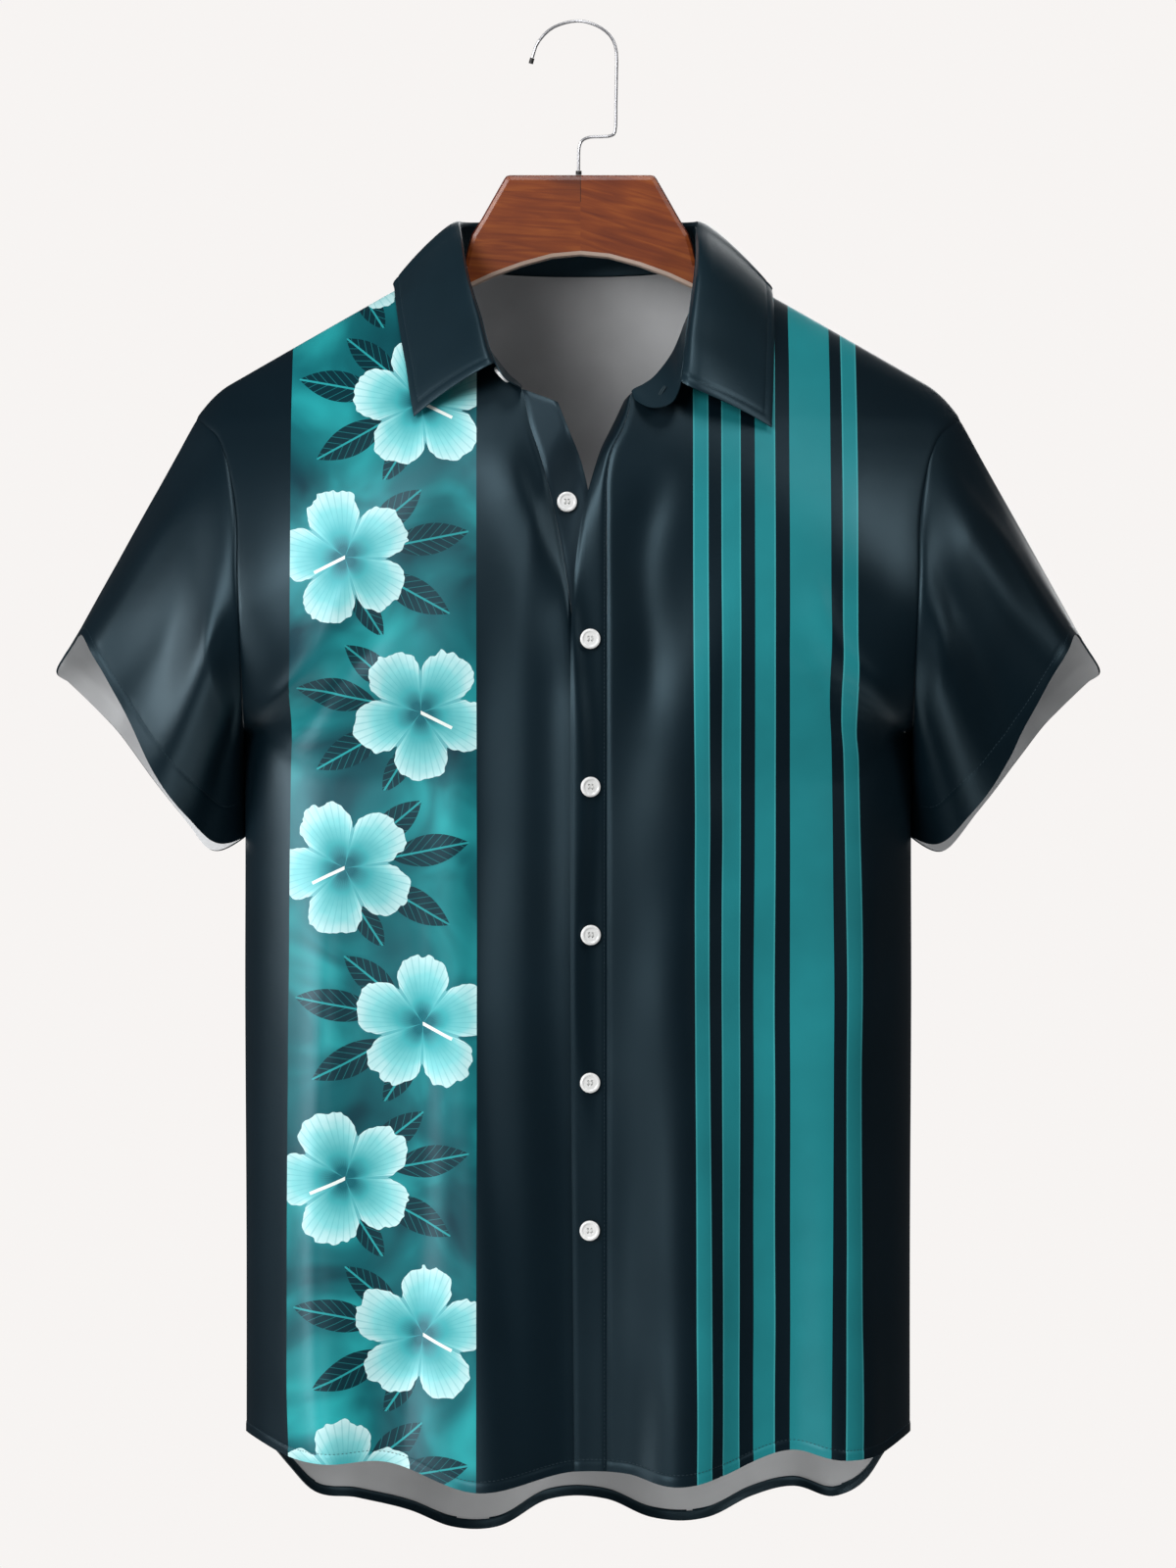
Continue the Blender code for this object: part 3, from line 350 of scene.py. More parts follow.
class Value:
    """A varying number or colour of a shader tree, so that formulas use ordinary signs."""

    def __init__(self, tree, socket):
        self.tree, self.socket = tree, socket

    __add__ = lambda a, b: calc("ADD", a, b)
    __sub__ = lambda a, b: calc("SUBTRACT", a, b)
    __rsub__ = lambda a, b: calc("SUBTRACT", b, a)
    __mul__ = lambda a, b: calc("MULTIPLY", a, b)
    __truediv__ = lambda a, b: calc("DIVIDE", a, b)
    __gt__ = lambda a, b: calc("GREATER_THAN", a, b)
    __lt__ = lambda a, b: calc("LESS_THAN", a, b)
    __abs__ = lambda a: calc("ABSOLUTE", a)


def calc(operation, *values):
    """A Math node fed by shader values or plain numbers; gives its output."""
    tree = next(value.tree for value in values if isinstance(value, Value))
    node = tree.nodes.new("ShaderNodeMath")
    node.operation = operation
    for socket, value in zip(node.inputs, values):
        feed(socket, value)
    return Value(tree, node.outputs[0])


def feed(socket, value):
    """Fill a socket with a shader value, a colour or a plain number."""
    if isinstance(value, Value):
        value.tree.links.new(value.socket, socket)
    elif isinstance(value, tuple):
        socket.default_value = (*value, 1.0)
    else:
        socket.default_value = value


def fill(node, **inputs):
    """Fill the named inputs of a node."""
    for name, value in inputs.items():
        feed(node.inputs[name.replace("_", " ")], value)


def output(tree, kind, key=0, **inputs):
    """One output of a new shader node whose named inputs are filled."""
    node = tree.nodes.new("ShaderNode" + kind)
    fill(node, **inputs)
    return Value(tree, node.outputs[key])


def split(vector):
    """The three parts of a vector."""
    node = vector.tree.nodes.new("ShaderNodeSeparateXYZ")
    feed(node.inputs[0], vector)
    return [Value(vector.tree, socket) for socket in node.outputs]


def mix(share, first, second, blend="MIX"):
    """A colour mix: first where share is 0, second where it is 1."""
    tree = next(value.tree for value in (share, first) if isinstance(value, Value))
    node = tree.nodes.new("ShaderNodeMix")
    node.data_type = "RGBA"
    node.blend_type = blend
    for number, value in ((0, share), (6, first), (7, second)):
        feed(node.inputs[number], value)
    return Value(tree, node.outputs[2])


def new_group(name, inputs, outputs):
    """An empty shader group with its sockets; gives it, its inputs and its output node."""
    tree = bpy.data.node_groups.new(name, "ShaderNodeTree")
    for way, sockets in (("INPUT", inputs), ("OUTPUT", outputs)):
        for label, kind in sockets.items():
            tree.interface.new_socket(label, in_out=way, socket_type="NodeSocket" + kind)
    given = tree.nodes.new("NodeGroupInput")
    values = [Value(tree, socket) for socket in given.outputs[:len(inputs)]]
    return tree, values, tree.nodes.new("NodeGroupOutput")


def use_group(tree, group, **inputs):
    """A group put into a tree with its inputs filled; gives its outputs."""
    node = tree.nodes.new("ShaderNodeGroup")
    node.node_tree = group
    fill(node, **inputs)
    return [Value(tree, socket) for socket in node.outputs]


def new_finish(name):
    """A new material, its tree and its Principled surface."""
    material = bpy.data.materials.new(name)
    material.use_nodes = True
    return material, material.node_tree, material.node_tree.nodes["Principled BSDF"]


def weave_group():
    """Plain weave: the product of two sine waves, one along each thread, and a cloudiness."""
    tree, (cut,), result = new_group("plain weave", {"Cut": "Vector"},
                                     {"Height": "Float", "Cloud": "Float"})
    across, up, _ = split(cut)
    turns = 2 * math.pi / WEAVE_PITCH
    fill(result, Height=calc("SINE", across * turns) * calc("SINE", up * turns),
         Cloud=output(tree, "TexNoise", "Fac", Vector=cut, Scale=14.0, Detail=3.0))
    return tree


WEAVE_PITCH = 0.0007
weave = weave_group()


def cloth_finish(name, colour, printed=None, roughness=0.38):
    """Woven polyester: the ground colour or a print, a slow unevenness and the weave's relief."""
    material, tree, surface = new_finish(name)
    place = tree.nodes.new("ShaderNodeUVMap")
    place.uv_map = "cut"
    cut = Value(tree, place.outputs[0])
    shown = output(tree, "RGB")
    shown.socket.default_value = (*colour, 1.0)
    if printed:
        shown = use_group(tree, printed, Cut=cut, Ground=shown)[0]
    height, cloud = use_group(tree, weave, Cut=cut)
    tone = output(tree, "MapRange", Value=cloud, From_Min=0.3, From_Max=0.7, To_Min=0.86,
                  To_Max=1.1)
    fill(surface, Base_Color=mix(1.0, shown, tone, "MULTIPLY"), Roughness=roughness,
         Specular_IOR_Level=0.4, Specular_Tint=(0.55, 0.84, 1.0),
         Normal=output(tree, "Bump", Strength=0.12, Distance=0.0001, Height=height))
    return material


NAVY = (0.0018, 0.0068, 0.0112)
REVERSE = (0.60, 0.605, 0.615)
plain_cloth = cloth_finish("navy polyester", NAVY)
reverse_side = cloth_finish("unprinted reverse", REVERSE, roughness=0.75)


def back_grid(v, place):
    """Points of the back: place from -1 to 1 across, v from 0 at the top to 1 at the hem."""
    outer_z = read(OUTER_EDGE, "z", v)
    x = place * read(SIDE, "half_width", outer_z)
    top_x = x[:1]
    neckline = read(BACK_NECK, "z", np.abs(top_x))
    top = np.where(np.abs(top_x) < NECK_POINT, neckline, shoulder_line(top_x))
    down = (outer_z - outer_z[0]) / (outer_z[-1] - outer_z[0])
    return x, top + (read(BACK_HEM, "z", x[-1:]) - top) * down


def back_places():
    """Places across the back, with two columns at each neck point, where its top steps."""
    side = SHOULDER_TIP - NECK_POINT
    outer = NECK_POINT + side * spaced(side, STEP_ACROSS)
    neck = NECK_POINT * (2 * spaced(2 * NECK_POINT, STEP_ACROSS)[1:-1] - 1)
    return np.concatenate([-outer[::-1], neck, outer]) / SHOULDER_TIP


def body_wall(x, z, flat, side, relief):
    """The outer and inner grids of a body piece, moved along its outward side by its relief,
    its hem and the dips at its seams; then its cut, where its reverse shows, and that side."""
    top, bottom, first, last = from_border(flat)
    lift = relief + hem_roll(bottom) + seam_dip(first) + seam_dip(last) + seam_dip(top)
    out = body_normal(x, z, side)
    outer = flat + out * lift[..., None]
    thickness = HEM_CLOTH + (CLOTH - HEM_CLOTH) * ramp(bottom, HEM_DEPTH, HEM_DEPTH + 0.0006)
    inner = outer - out * thickness[..., None]
    return outer, inner, np.stack([x, z], axis=-1), bottom > HEM_DEPTH + 0.0003, out


v = spaced(PANEL_LENGTH, STEP_DOWN, last=HEM_STEPS)[:, None]
x, z = back_grid(v, back_places()[None, :])
flat = on_body(x, z, 1)
room = fold_room(x, z, 1) * ramp(from_border(flat)[0], 0.004, 0.04)
outer, inner, cut, lined, out = body_wall(x, z, flat, 1,
                                          (folds(x, z, BACK_FOLDS) + puckers(x, z)) * room)
back = cloth_shell("shirt_back", outer, inner, cut, [plain_cloth, reverse_side], lined)
thread = cloth_finish("navy thread", (0.020, 0.034, 0.044), roughness=0.45)
back_hem = put_stitches("stitches_back_hem", [(outer[HEM_ROW], out[HEM_ROW])], thread)
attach(back, "root")
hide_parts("back")

# ---------------------------------------------------------------- right front
# The wearer's right front, from the shoulder seam to the hem. It carries a broad upright strip
# of printed blossoms and leaves, and tucks under the other front at the neck.

LEFT_EDGE = table("v x z",
    (0.21, 0.0279, -0.2335), (0.23, 0.0235, -0.2431), (0.25, 0.0192, -0.252),
    (0.28, 0.0131, -0.265), (0.3, 0.009, -0.278), (0.33, 0.0032, -0.3005), (0.36, -0.0005, -0.324),
    (0.42, -0.004, -0.366), (0.5, -0.0046, -0.4386), (1, -0.0023, -0.8815))
RIGHT_SEAM = table("v x z",
    (0, -0.08, -0.1456), (0.05, -0.0735, -0.166), (0.09, -0.065, -0.184), (0.13, -0.0555, -0.201),
    (0.16, -0.048, -0.2115), (0.19, -0.0415, -0.2195), (0.21, -0.0345, -0.2262),
    (0.24, -0.0295, -0.2476), (0.27, -0.0218, -0.2713), (0.3, -0.0153, -0.2967),
    (0.33, -0.0105, -0.32), (0.36, -0.0059, -0.3477), (0.42, -0.0011, -0.3951),
    (0.5, 0.001, -0.4662), (0.6, 0.0013, -0.5492), (1, 0.0013, -0.8815))
OVERLAP = table("z curl tuck",
    (-0.9, 0, 0.0024), (-0.43, 0, 0.0024), (-0.37, 0, 0.0026), (-0.33, 0.001, 0.0042),
    (-0.301, 0.003, 0.0062), (-0.276, 0.006, 0.008), (-0.26, 0.009, 0.007), (-0.234, 0.018, 0.003))
TUCK_START, TUCK_END = 0.030, 0.006
FRONT_WIDTH = 0.2
BAND_START = (0.18, 0.205)

# Folds of both fronts, as on the back
FRONT_FOLDS = table(FOLD_COLUMNS,
    (-0.044, -0.245, -0.002, -0.39, 0.012, 0.0034, 0.3, 0.002),
    (-0.008, -0.33, 0.002, -0.66, 0.011, 0.004, 0.4, -0.002),
    (-0.058, -0.33, -0.04, -0.89, 0.015, -0.003, -0.2, 0.004),
    (-0.1, -0.42, -0.106, -0.89, 0.016, -0.0035, 0.2, -0.003),
    (-0.156, -0.44, -0.154, -0.92, 0.018, 0.0045, 0.3, 0.003),
    (-0.195, -0.43, -0.135, -0.34, 0.009, 0.0025, 0.2, 0.004),
    (-0.185, -0.45, -0.12, -0.37, 0.009, -0.002, -0.2, 0.004),
    (0.082, -0.32, 0.072, -0.52, 0.02, 0.0035, 0.3, -0.003),
    (0.07, -0.37, 0.066, -0.96, 0.024, 0.0066, 0.25, 0.003),
    (0.108, -0.43, 0.106, -0.93, 0.018, -0.0026, -0.1, 0.003),
    (0.16, -0.4, 0.162, -0.95, 0.025, 0.0052, 0.1, -0.003),
    (0.196, -0.43, 0.14, -0.345, 0.01, 0.0024, -0.2, -0.004),
    (0.188, -0.452, 0.13, -0.38, 0.01, -0.002, 0.2, -0.004),
    (0.05, -0.26, 0.038, -0.42, 0.013, -0.0025, 0.1, 0.003))

# Blossom panel: its place across the wearer's right side, and the repeat of its blossoms
PANEL_START, PANEL_END = -0.1745, -0.0615
BLOSSOM_REPEAT = 0.094
BLOSSOM_SWAY = 0.023
BLOSSOM_RADIUS = 0.041
PETALS = 5
DEEP_TEAL = (0.0016, 0.030, 0.044)
MID_TEAL = (0.005, 0.130, 0.150)
BRIGHT_TEAL = (0.020, 0.36, 0.38)
PALE = (0.56, 0.80, 0.81)
THROAT = (0.004, 0.11, 0.14)
LEAF_DARK = (0.0014, 0.024, 0.034)
LEAF_RIB = (0.02, 0.30, 0.32)


def colour_ramp(share, stops, kind="LINEAR"):
    """A colour read at share from stops, each a place and a colour, in rising order."""
    node = share.tree.nodes.new("ShaderNodeValToRGB")
    node.color_ramp.interpolation = kind
    elements = node.color_ramp.elements
    elements.remove(elements[1])
    elements[0].position, elements[0].color = stops[0][0], (*stops[0][1], 1)
    for place, colour in stops[1:]:
        elements.new(place).color = (*colour, 1)
    feed(node.inputs[0], share)
    return Value(share.tree, node.outputs[0])


def leaf_group():
    """Pointed leaf: inside where the distance from its midrib is less than a parabola along it,
    with a light midrib and slanting veins."""
    tree, (across, up, turn, length, width), result = new_group(
        "leaf", dict.fromkeys("Across Up Turn Length Width".split(), "Float"),
        {"Inside": "Float", "Rib": "Float"})
    cosine, sine = calc("COSINE", turn), calc("SINE", turn)
    along = across * cosine + up * sine
    aside = abs(up * cosine - across * sine)
    share = along / length
    edge = share * (1.0 - share) * 4.0 * width
    inside = (share > 0.0) * (share < 1.0) * (aside < edge)
    vein = (calc("FRACT", (along - aside * 1.3) / 0.0062) < 0.10) * 0.4
    fill(result, Inside=inside, Rib=calc("MAXIMUM", aside < 0.0006, vein) * inside)
    return tree


leaf = leaf_group()

# Leaves of each repeat: root from the blossom's centre, direction, length and half width
LEAVES = table("x z turn length width",
    (-0.014, 0.014, 2.45, 0.042, 0.0085), (-0.026, 0.006, 2.95, 0.05, 0.0095),
    (-0.02, -0.01, 3.65, 0.05, 0.0095), (-0.004, -0.018, 4.15, 0.036, 0.007))


def blossom_group():
    """Staggered five-petalled blossoms and leaves on a soft ground. The height is cut into
    equal repeats; in each, a blossom sits to the left or right in turn, and its outline is a
    radius that falls off between the petals."""
    tree, (cut, ground), result = new_group(
        "blossom panel", {"Cut": "Vector", "Ground": "Color"}, {"Color": "Color"})
    across, up, _ = split(cut)
    count = up / BLOSSOM_REPEAT
    number = calc("FLOOR", count)
    dz = (count - number - 0.5) * BLOSSOM_REPEAT
    sign = calc("FLOORED_MODULO", number, 2.0) * 2.0 - 1.0
    dx = (across - (sign * BLOSSOM_SWAY + 0.5 * (PANEL_START + PANEL_END))) * sign
    chance = tree.nodes.new("ShaderNodeTexWhiteNoise")
    chance.noise_dimensions = "1D"
    fill(chance, W=number)
    radius = calc("SQRT", dx * dx + dz * dz)
    angle = calc("ARCTAN2", dz, dx) + Value(tree, chance.outputs["Value"]) * (2 * math.pi)
    gap = abs(calc("FRACT", angle * (PETALS / (2 * math.pi)) + 10.0) * 2.0 - 1.0)
    ripple = output(tree, "TexNoise", "Fac", Vector=cut, Scale=130.0, Detail=1.0)
    reach = (1.0 - calc("POWER", gap, 3.0) * 0.40 + (ripple - 0.5) * 0.22) * BLOSSOM_RADIUS
    share = radius / reach
    tone = colour_ramp(share, [(0.0, THROAT), (0.16, THROAT), (0.38, (0.05, 0.38, 0.41)),
                               (0.72, (0.22, 0.62, 0.64)), (1.0, PALE)])
    veins = (calc("SINE", angle * 55.0) > 0.82) * 0.28
    flower = mix(calc("MAXIMUM", veins, (gap > 0.93) * 0.75), tone, (0.05, 0.36, 0.40))
    stamen = (abs(dz + dx * 0.5) < 0.0011) * (dx > 0.0) * (radius < 0.021)
    flower = mix(stamen, flower, (0.82, 0.90, 0.86))
    mist = output(tree, "TexNoise", "Fac", Vector=cut, Scale=17.0, Detail=2.5, Distortion=0.6)
    picture = colour_ramp(mist, [(0.30, DEEP_TEAL), (0.50, MID_TEAL), (0.72, BRIGHT_TEAL)])
    for x, z, turn, length, width in zip(*LEAVES.values()):
        within, rib = use_group(tree, leaf, Across=dx - x, Up=dz - z, Turn=turn, Length=length,
                                Width=width)
        picture = mix(rib, mix(within, picture, LEAF_DARK), LEAF_RIB)
    picture = mix(share < 1.0, picture, flower)
    in_panel = (across > PANEL_START) * (across < PANEL_END)
    fill(result, Color=mix(in_panel, ground, picture))
    return tree


def front_grid(seam, side_sign, v, share):
    """Points of a front: v from 0 at the shoulder to 1 at the hem, share from 0 at the neckline
    and the band to 1 at the armhole and the side seam."""
    outer_z = read(OUTER_EDGE, "z", v)
    outer_x = side_sign * read(SIDE, "half_width", outer_z)
    inner_x = read(seam, "x", v) + side_sign * SEAM * ramp(v, *BAND_START)
    x = inner_x + (outer_x - inner_x) * share
    z = read(seam, "z", v) * (1 - share) + outer_z * share
    z = z + (shoulder_line(x[:1]) - z[:1]) * (1 - v) ** 6
    return x, z + (read(FRONT_HEM, "z", x[-1:]) - z[-1:]) * v ** 4


def tucked(points):
    """The lower front moved back, by a ramp across the upper band's edge, to pass behind it."""
    edge = read(LEFT_EDGE, "x", smooth(-points[..., 2], -LEFT_EDGE["z"], LEFT_EDGE["v"]))
    share = ramp(points[..., 0], edge - TUCK_START, edge - TUCK_END)
    back = share * read(OVERLAP, "tuck", points[..., 2])
    return points + back[..., None] * np.array([0.0, 1.0, 0.0])


def front_relief(x, z):
    """Folds and puckers of the front, less near its seams."""
    return (folds(x, z, FRONT_FOLDS) + puckers(x, z)) * fold_room(x, z, -1)


blossom_cloth = cloth_finish("blossom polyester", NAVY, blossom_group())
share = spaced(FRONT_WIDTH, STEP_ACROSS)[None, :]
x, z = front_grid(RIGHT_SEAM, -1, v, share)
outer, inner, cut, lined, out = body_wall(x, z, tucked(on_body(x, z, -1)), -1,
                                          front_relief(x, z))
front_right = cloth_shell("shirt_front_right", outer, inner, cut,
                          [blossom_cloth, reverse_side], lined)
right_hem = put_stitches("stitches_right_hem", [(outer[HEM_ROW], out[HEM_ROW])], thread)
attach(front_right, "root")
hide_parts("front_right")

# ---------------------------------------------------------------- left front
# The wearer's left front, the same shape mirrored, with five upright stripes of different
# widths in its print.

LEFT_SEAM = table("v x z",
    (0, 0.08, -0.1456), (0.05, 0.0745, -0.165), (0.09, 0.0655, -0.186), (0.13, 0.0575, -0.205),
    (0.16, 0.047, -0.219), (0.19, 0.0386, -0.2252), (0.21, 0.0325, -0.229), (0.23, 0.031, -0.2396),
    (0.25, 0.0273, -0.2508), (0.28, 0.0202, -0.2656), (0.3, 0.0178, -0.2789),
    (0.33, 0.0174, -0.3005), (0.4, 0.0174, -0.35), (1, 0.0174, -0.8815))

# Stripes: place across the body, from the middle to the wearer's left side
STRIPES = table("start end",
    (0.069, 0.0782), (0.0862, 0.0979), (0.1063, 0.119), (0.1274, 0.1531), (0.1598, 0.1688))
STRIPE_EDGE = 0.0006
STRIPE_TEAL = (0.016, 0.235, 0.262)
STRIPE_LIGHT = (0.05, 0.36, 0.39)
STRIPE_REACH = 0.20


def stripe_group():
    """Vertical stripes with light edges: stepped colour ramps over the place across the cut."""
    tree, (cut, ground), result = new_group(
        "teal stripes", {"Cut": "Vector", "Ground": "Color"}, {"Color": "Color"})
    place = split(cut)[0] / STRIPE_REACH
    colours, masks = [(0.0, STRIPE_LIGHT)], [(0.0, (0, 0, 0))]
    for start, end in zip(*STRIPES.values()):
        colours.append(((start + STRIPE_EDGE) / STRIPE_REACH, STRIPE_TEAL))
        colours.append(((end - STRIPE_EDGE) / STRIPE_REACH, STRIPE_LIGHT))
        masks += [(start / STRIPE_REACH, (1, 1, 1)), (end / STRIPE_REACH, (0, 0, 0))]
    fill(result, Color=mix(colour_ramp(place, masks, "CONSTANT"), ground,
                           colour_ramp(place, colours, "CONSTANT")))
    return tree


striped_cloth = cloth_finish("striped polyester", NAVY, stripe_group())
x, z = front_grid(LEFT_SEAM, 1, v, share)
outer, inner, cut, lined, out = body_wall(x, z, on_body(x, z, -1), -1,
                                          front_relief(x, z))
front_left = cloth_shell("shirt_front_left", outer, inner, cut,
                         [striped_cloth, reverse_side], lined)
left_hem = put_stitches("stitches_left_hem", [(outer[HEM_ROW], out[HEM_ROW])], thread)
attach(front_left, "root")
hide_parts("front_left")

# ---------------------------------------------------------------- button band
# The narrow strip sewn to the right front that carries the buttons. It lies underneath, and
# shows only in the open neck.

RIGHT_EDGE = table("v x z",
    (0.21, -0.0124, -0.2345), (0.24, -0.0053, -0.2523), (0.27, 0.0013, -0.269),
    (0.3, 0.006, -0.288), (0.33, 0.01, -0.313), (0.36, 0.015, -0.345), (0.42, 0.0202, -0.395),
    (0.5, 0.0223, -0.466), (0.6, 0.0226, -0.5492), (1, 0.0226, -0.8815))
BAND_TOP = 0.21
BAND_WIDTH, BAND_STEP = 0.022, 0.0020


def band_grid(seam, edge, side_sign, v, b):
    """Points of a band, b from 0 at its seam to 1 at its free edge."""
    seam_x = read(seam, "x", v) - side_sign * SEAM / 2
    x = seam_x + (read(edge, "x", v) - seam_x) * b
    z = read(seam, "z", v) * (1 - b) + read(edge, "z", v) * b
    return x, z + (read(FRONT_HEM, "z", x[-1:]) - z[-1:]) * v ** 4


band_v = np.concatenate([[BAND_TOP], v[v > BAND_TOP + 0.002]])[:, None]
band_b = spaced(BAND_WIDTH, BAND_STEP)[None, :]
under_cloth = cloth_finish("navy polyester band", (0.009, 0.017, 0.024))
x, z = band_grid(RIGHT_SEAM, RIGHT_EDGE, -1, band_v, band_b)
outer, inner, cut, _, out = body_wall(x, z, tucked(on_body(x, z, -1)), -1,
                                      front_relief(x, z))
band_button = cloth_shell("shirt_band_button", outer, inner, cut, [under_cloth, under_cloth])
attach(band_button, "root")
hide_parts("band_button")

# ---------------------------------------------------------------- buttonhole band
# The strip sewn to the left front that lies on top. Its free edge curls back where the neck
# is open, and a line of stitches runs down its seam.

x, z = band_grid(LEFT_SEAM, LEFT_EDGE, 1, band_v, band_b)
flat = on_body(x, z, -1)
flat[..., 1] += read(OVERLAP, "curl", flat[..., 2]) * band_b ** 2
outer, inner, cut, _, out = body_wall(x, z, flat, -1, front_relief(x, z))
band_buttonhole = cloth_shell("shirt_band_buttonhole", outer, inner, cut,
                              [plain_cloth, plain_cloth])
band_seams = put_stitches("stitches_band", [(outer[:, 2], out[:, 2]),
                                             (outer[HEM_ROW], out[HEM_ROW])], thread)
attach(band_buttonhole, "root")
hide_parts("band_buttonhole")

# ---------------------------------------------------------------- sleeves
# Two short sleeves, each a tube set into its armhole, wide open at the bottom. Their hems are
# turned up inside and held by one line of stitches.

NECKLINE_ROWS = (0.0, 0.012, 0.03, 0.05, 0.07, 0.09, 0.11, 0.13, 0.15, 0.17, 0.19, 0.21)
ARMHOLE_ROWS = np.array([*NECKLINE_ROWS, 0.24, 0.27, 0.30, 0.33, 0.36])
CUFF = table("turn x y z",
    (0, 0.311, 0.006, -0.3815), (30, 0.3035, -0.018, -0.375), (60, 0.2925, -0.038, -0.3935),
    (90, 0.2735, -0.048, -0.429), (120, 0.256, -0.045, -0.461), (150, 0.234, -0.031, -0.491),
    (180, 0.2165, 0, -0.5112), (210, 0.226, 0.026, -0.5065), (240, 0.243, 0.043, -0.487),
    (270, 0.268, 0.05, -0.4545), (300, 0.29, 0.048, -0.427), (330, 0.313, 0.036, -0.404),
    (345, 0.3204, 0.024, -0.397), (360, 0.311, 0.006, -0.3815))

# Broad folds of the sleeves: turn from the outer tip round the front, spread and height
RIGHT_PUSH = table("turn spread out",
    (78, 24, -0.003), (127, 20, 0.011), (158, 12, -0.004), (265, 30, 0.005), (215, 20, -0.005))
LEFT_PUSH = table("turn spread out",
    (62, 20, 0.004), (98, 15, -0.004), (130, 18, 0.006), (152, 12, -0.003), (280, 30, 0.005),
    (225, 20, -0.005))
UNDERARM_TURN, UNDERARM_SPREAD = 184.0, 12.0
UNDERARM_TUCK = (-0.0135, 0.0, 0.0140)
ARMHOLE_LAP = 0.0010
SLEEVE_COLUMNS = 200
SLEEVE_LENGTH, SLEEVE_ROUND, SLEEVE_STEP = 0.17, 0.36, 0.0026
SLEEVE_FULLNESS, SLEEVE_FULLEST = 0.008, 0.6
SLEEVE_FOLD_START, SLEEVE_FOLD_LOSS = 0.30, 0.35

# Depth of the sleeve's hem, by turn from the outer tip round the front
SLEEVE_HEM = table("turn depth",
    (0, 0.005), (60, 0.005), (90, 0.008), (120, 0.016), (150, 0.023), (180, 0.027), (210, 0.025),
    (240, 0.02), (270, 0.015), (300, 0.012), (330, 0.008), (360, 0.005))

# Finer folds, across metres round the sleeve and metres down it
RIGHT_CREASES = table(FOLD_COLUMNS,
    (0.046, -0.02, 0.05, -0.23, 0.012, 0.0016, 0.2, 0.002),
    (0.084, -0.06, 0.09, -0.22, 0.011, -0.0012, -0.2, 0.002),
    (0.142, -0.01, 0.126, -0.17, 0.009, -0.0016, 0.1, -0.003),
    (0.235, -0.02, 0.27, -0.2, 0.012, 0.0025, 0.2, 0.003),
    (0.3, -0.02, 0.295, -0.21, 0.011, -0.0025, 0.2, 0.003))
LEFT_CREASES = table(FOLD_COLUMNS,
    (0.048, -0.02, 0.046, -0.23, 0.011, 0.0016, 0.2, 0.002),
    (0.076, -0.03, 0.074, -0.22, 0.01, -0.0016, -0.2, 0.002),
    (0.106, -0.02, 0.1, -0.2, 0.01, 0.0014, 0.2, -0.003),
    (0.24, -0.02, 0.262, -0.2, 0.012, 0.0025, 0.2, 0.003),
    (0.305, -0.02, 0.3, -0.21, 0.011, -0.0025, 0.2, 0.003))


def grid_normals(grid, ring=False):
    """Unit cross product of the directions down and across the grid."""
    if ring:
        grid = np.concatenate([grid[:, -1:], grid, grid[:, :1]], axis=1)
    normals = unit(np.cross(np.gradient(grid, axis=0), np.gradient(grid, axis=1)))
    return normals[:, 1:-1] if ring else normals


def armhole_ring(side_sign, turn):
    """Armhole by turn: down the front's edge for half of it, then up the back's."""
    step = 180.0 / (len(ARMHOLE_ROWS) - 1)
    down = np.interp(np.minimum(turn, 360 - turn) / step, np.arange(len(ARMHOLE_ROWS)), ARMHOLE_ROWS)
    z = read(OUTER_EDGE, "z", down)
    x = side_sign * (read(SIDE, "half_width", z) - ARMHOLE_LAP)
    ring = np.where(turn[:, None] <= 180, on_body(x, z, -1), on_body(x, z, 1))
    ring[:, 1] *= ramp(np.abs(turn), 0, 0.1) * ramp(np.abs(turn - 180), 0, 0.1)
    return ring


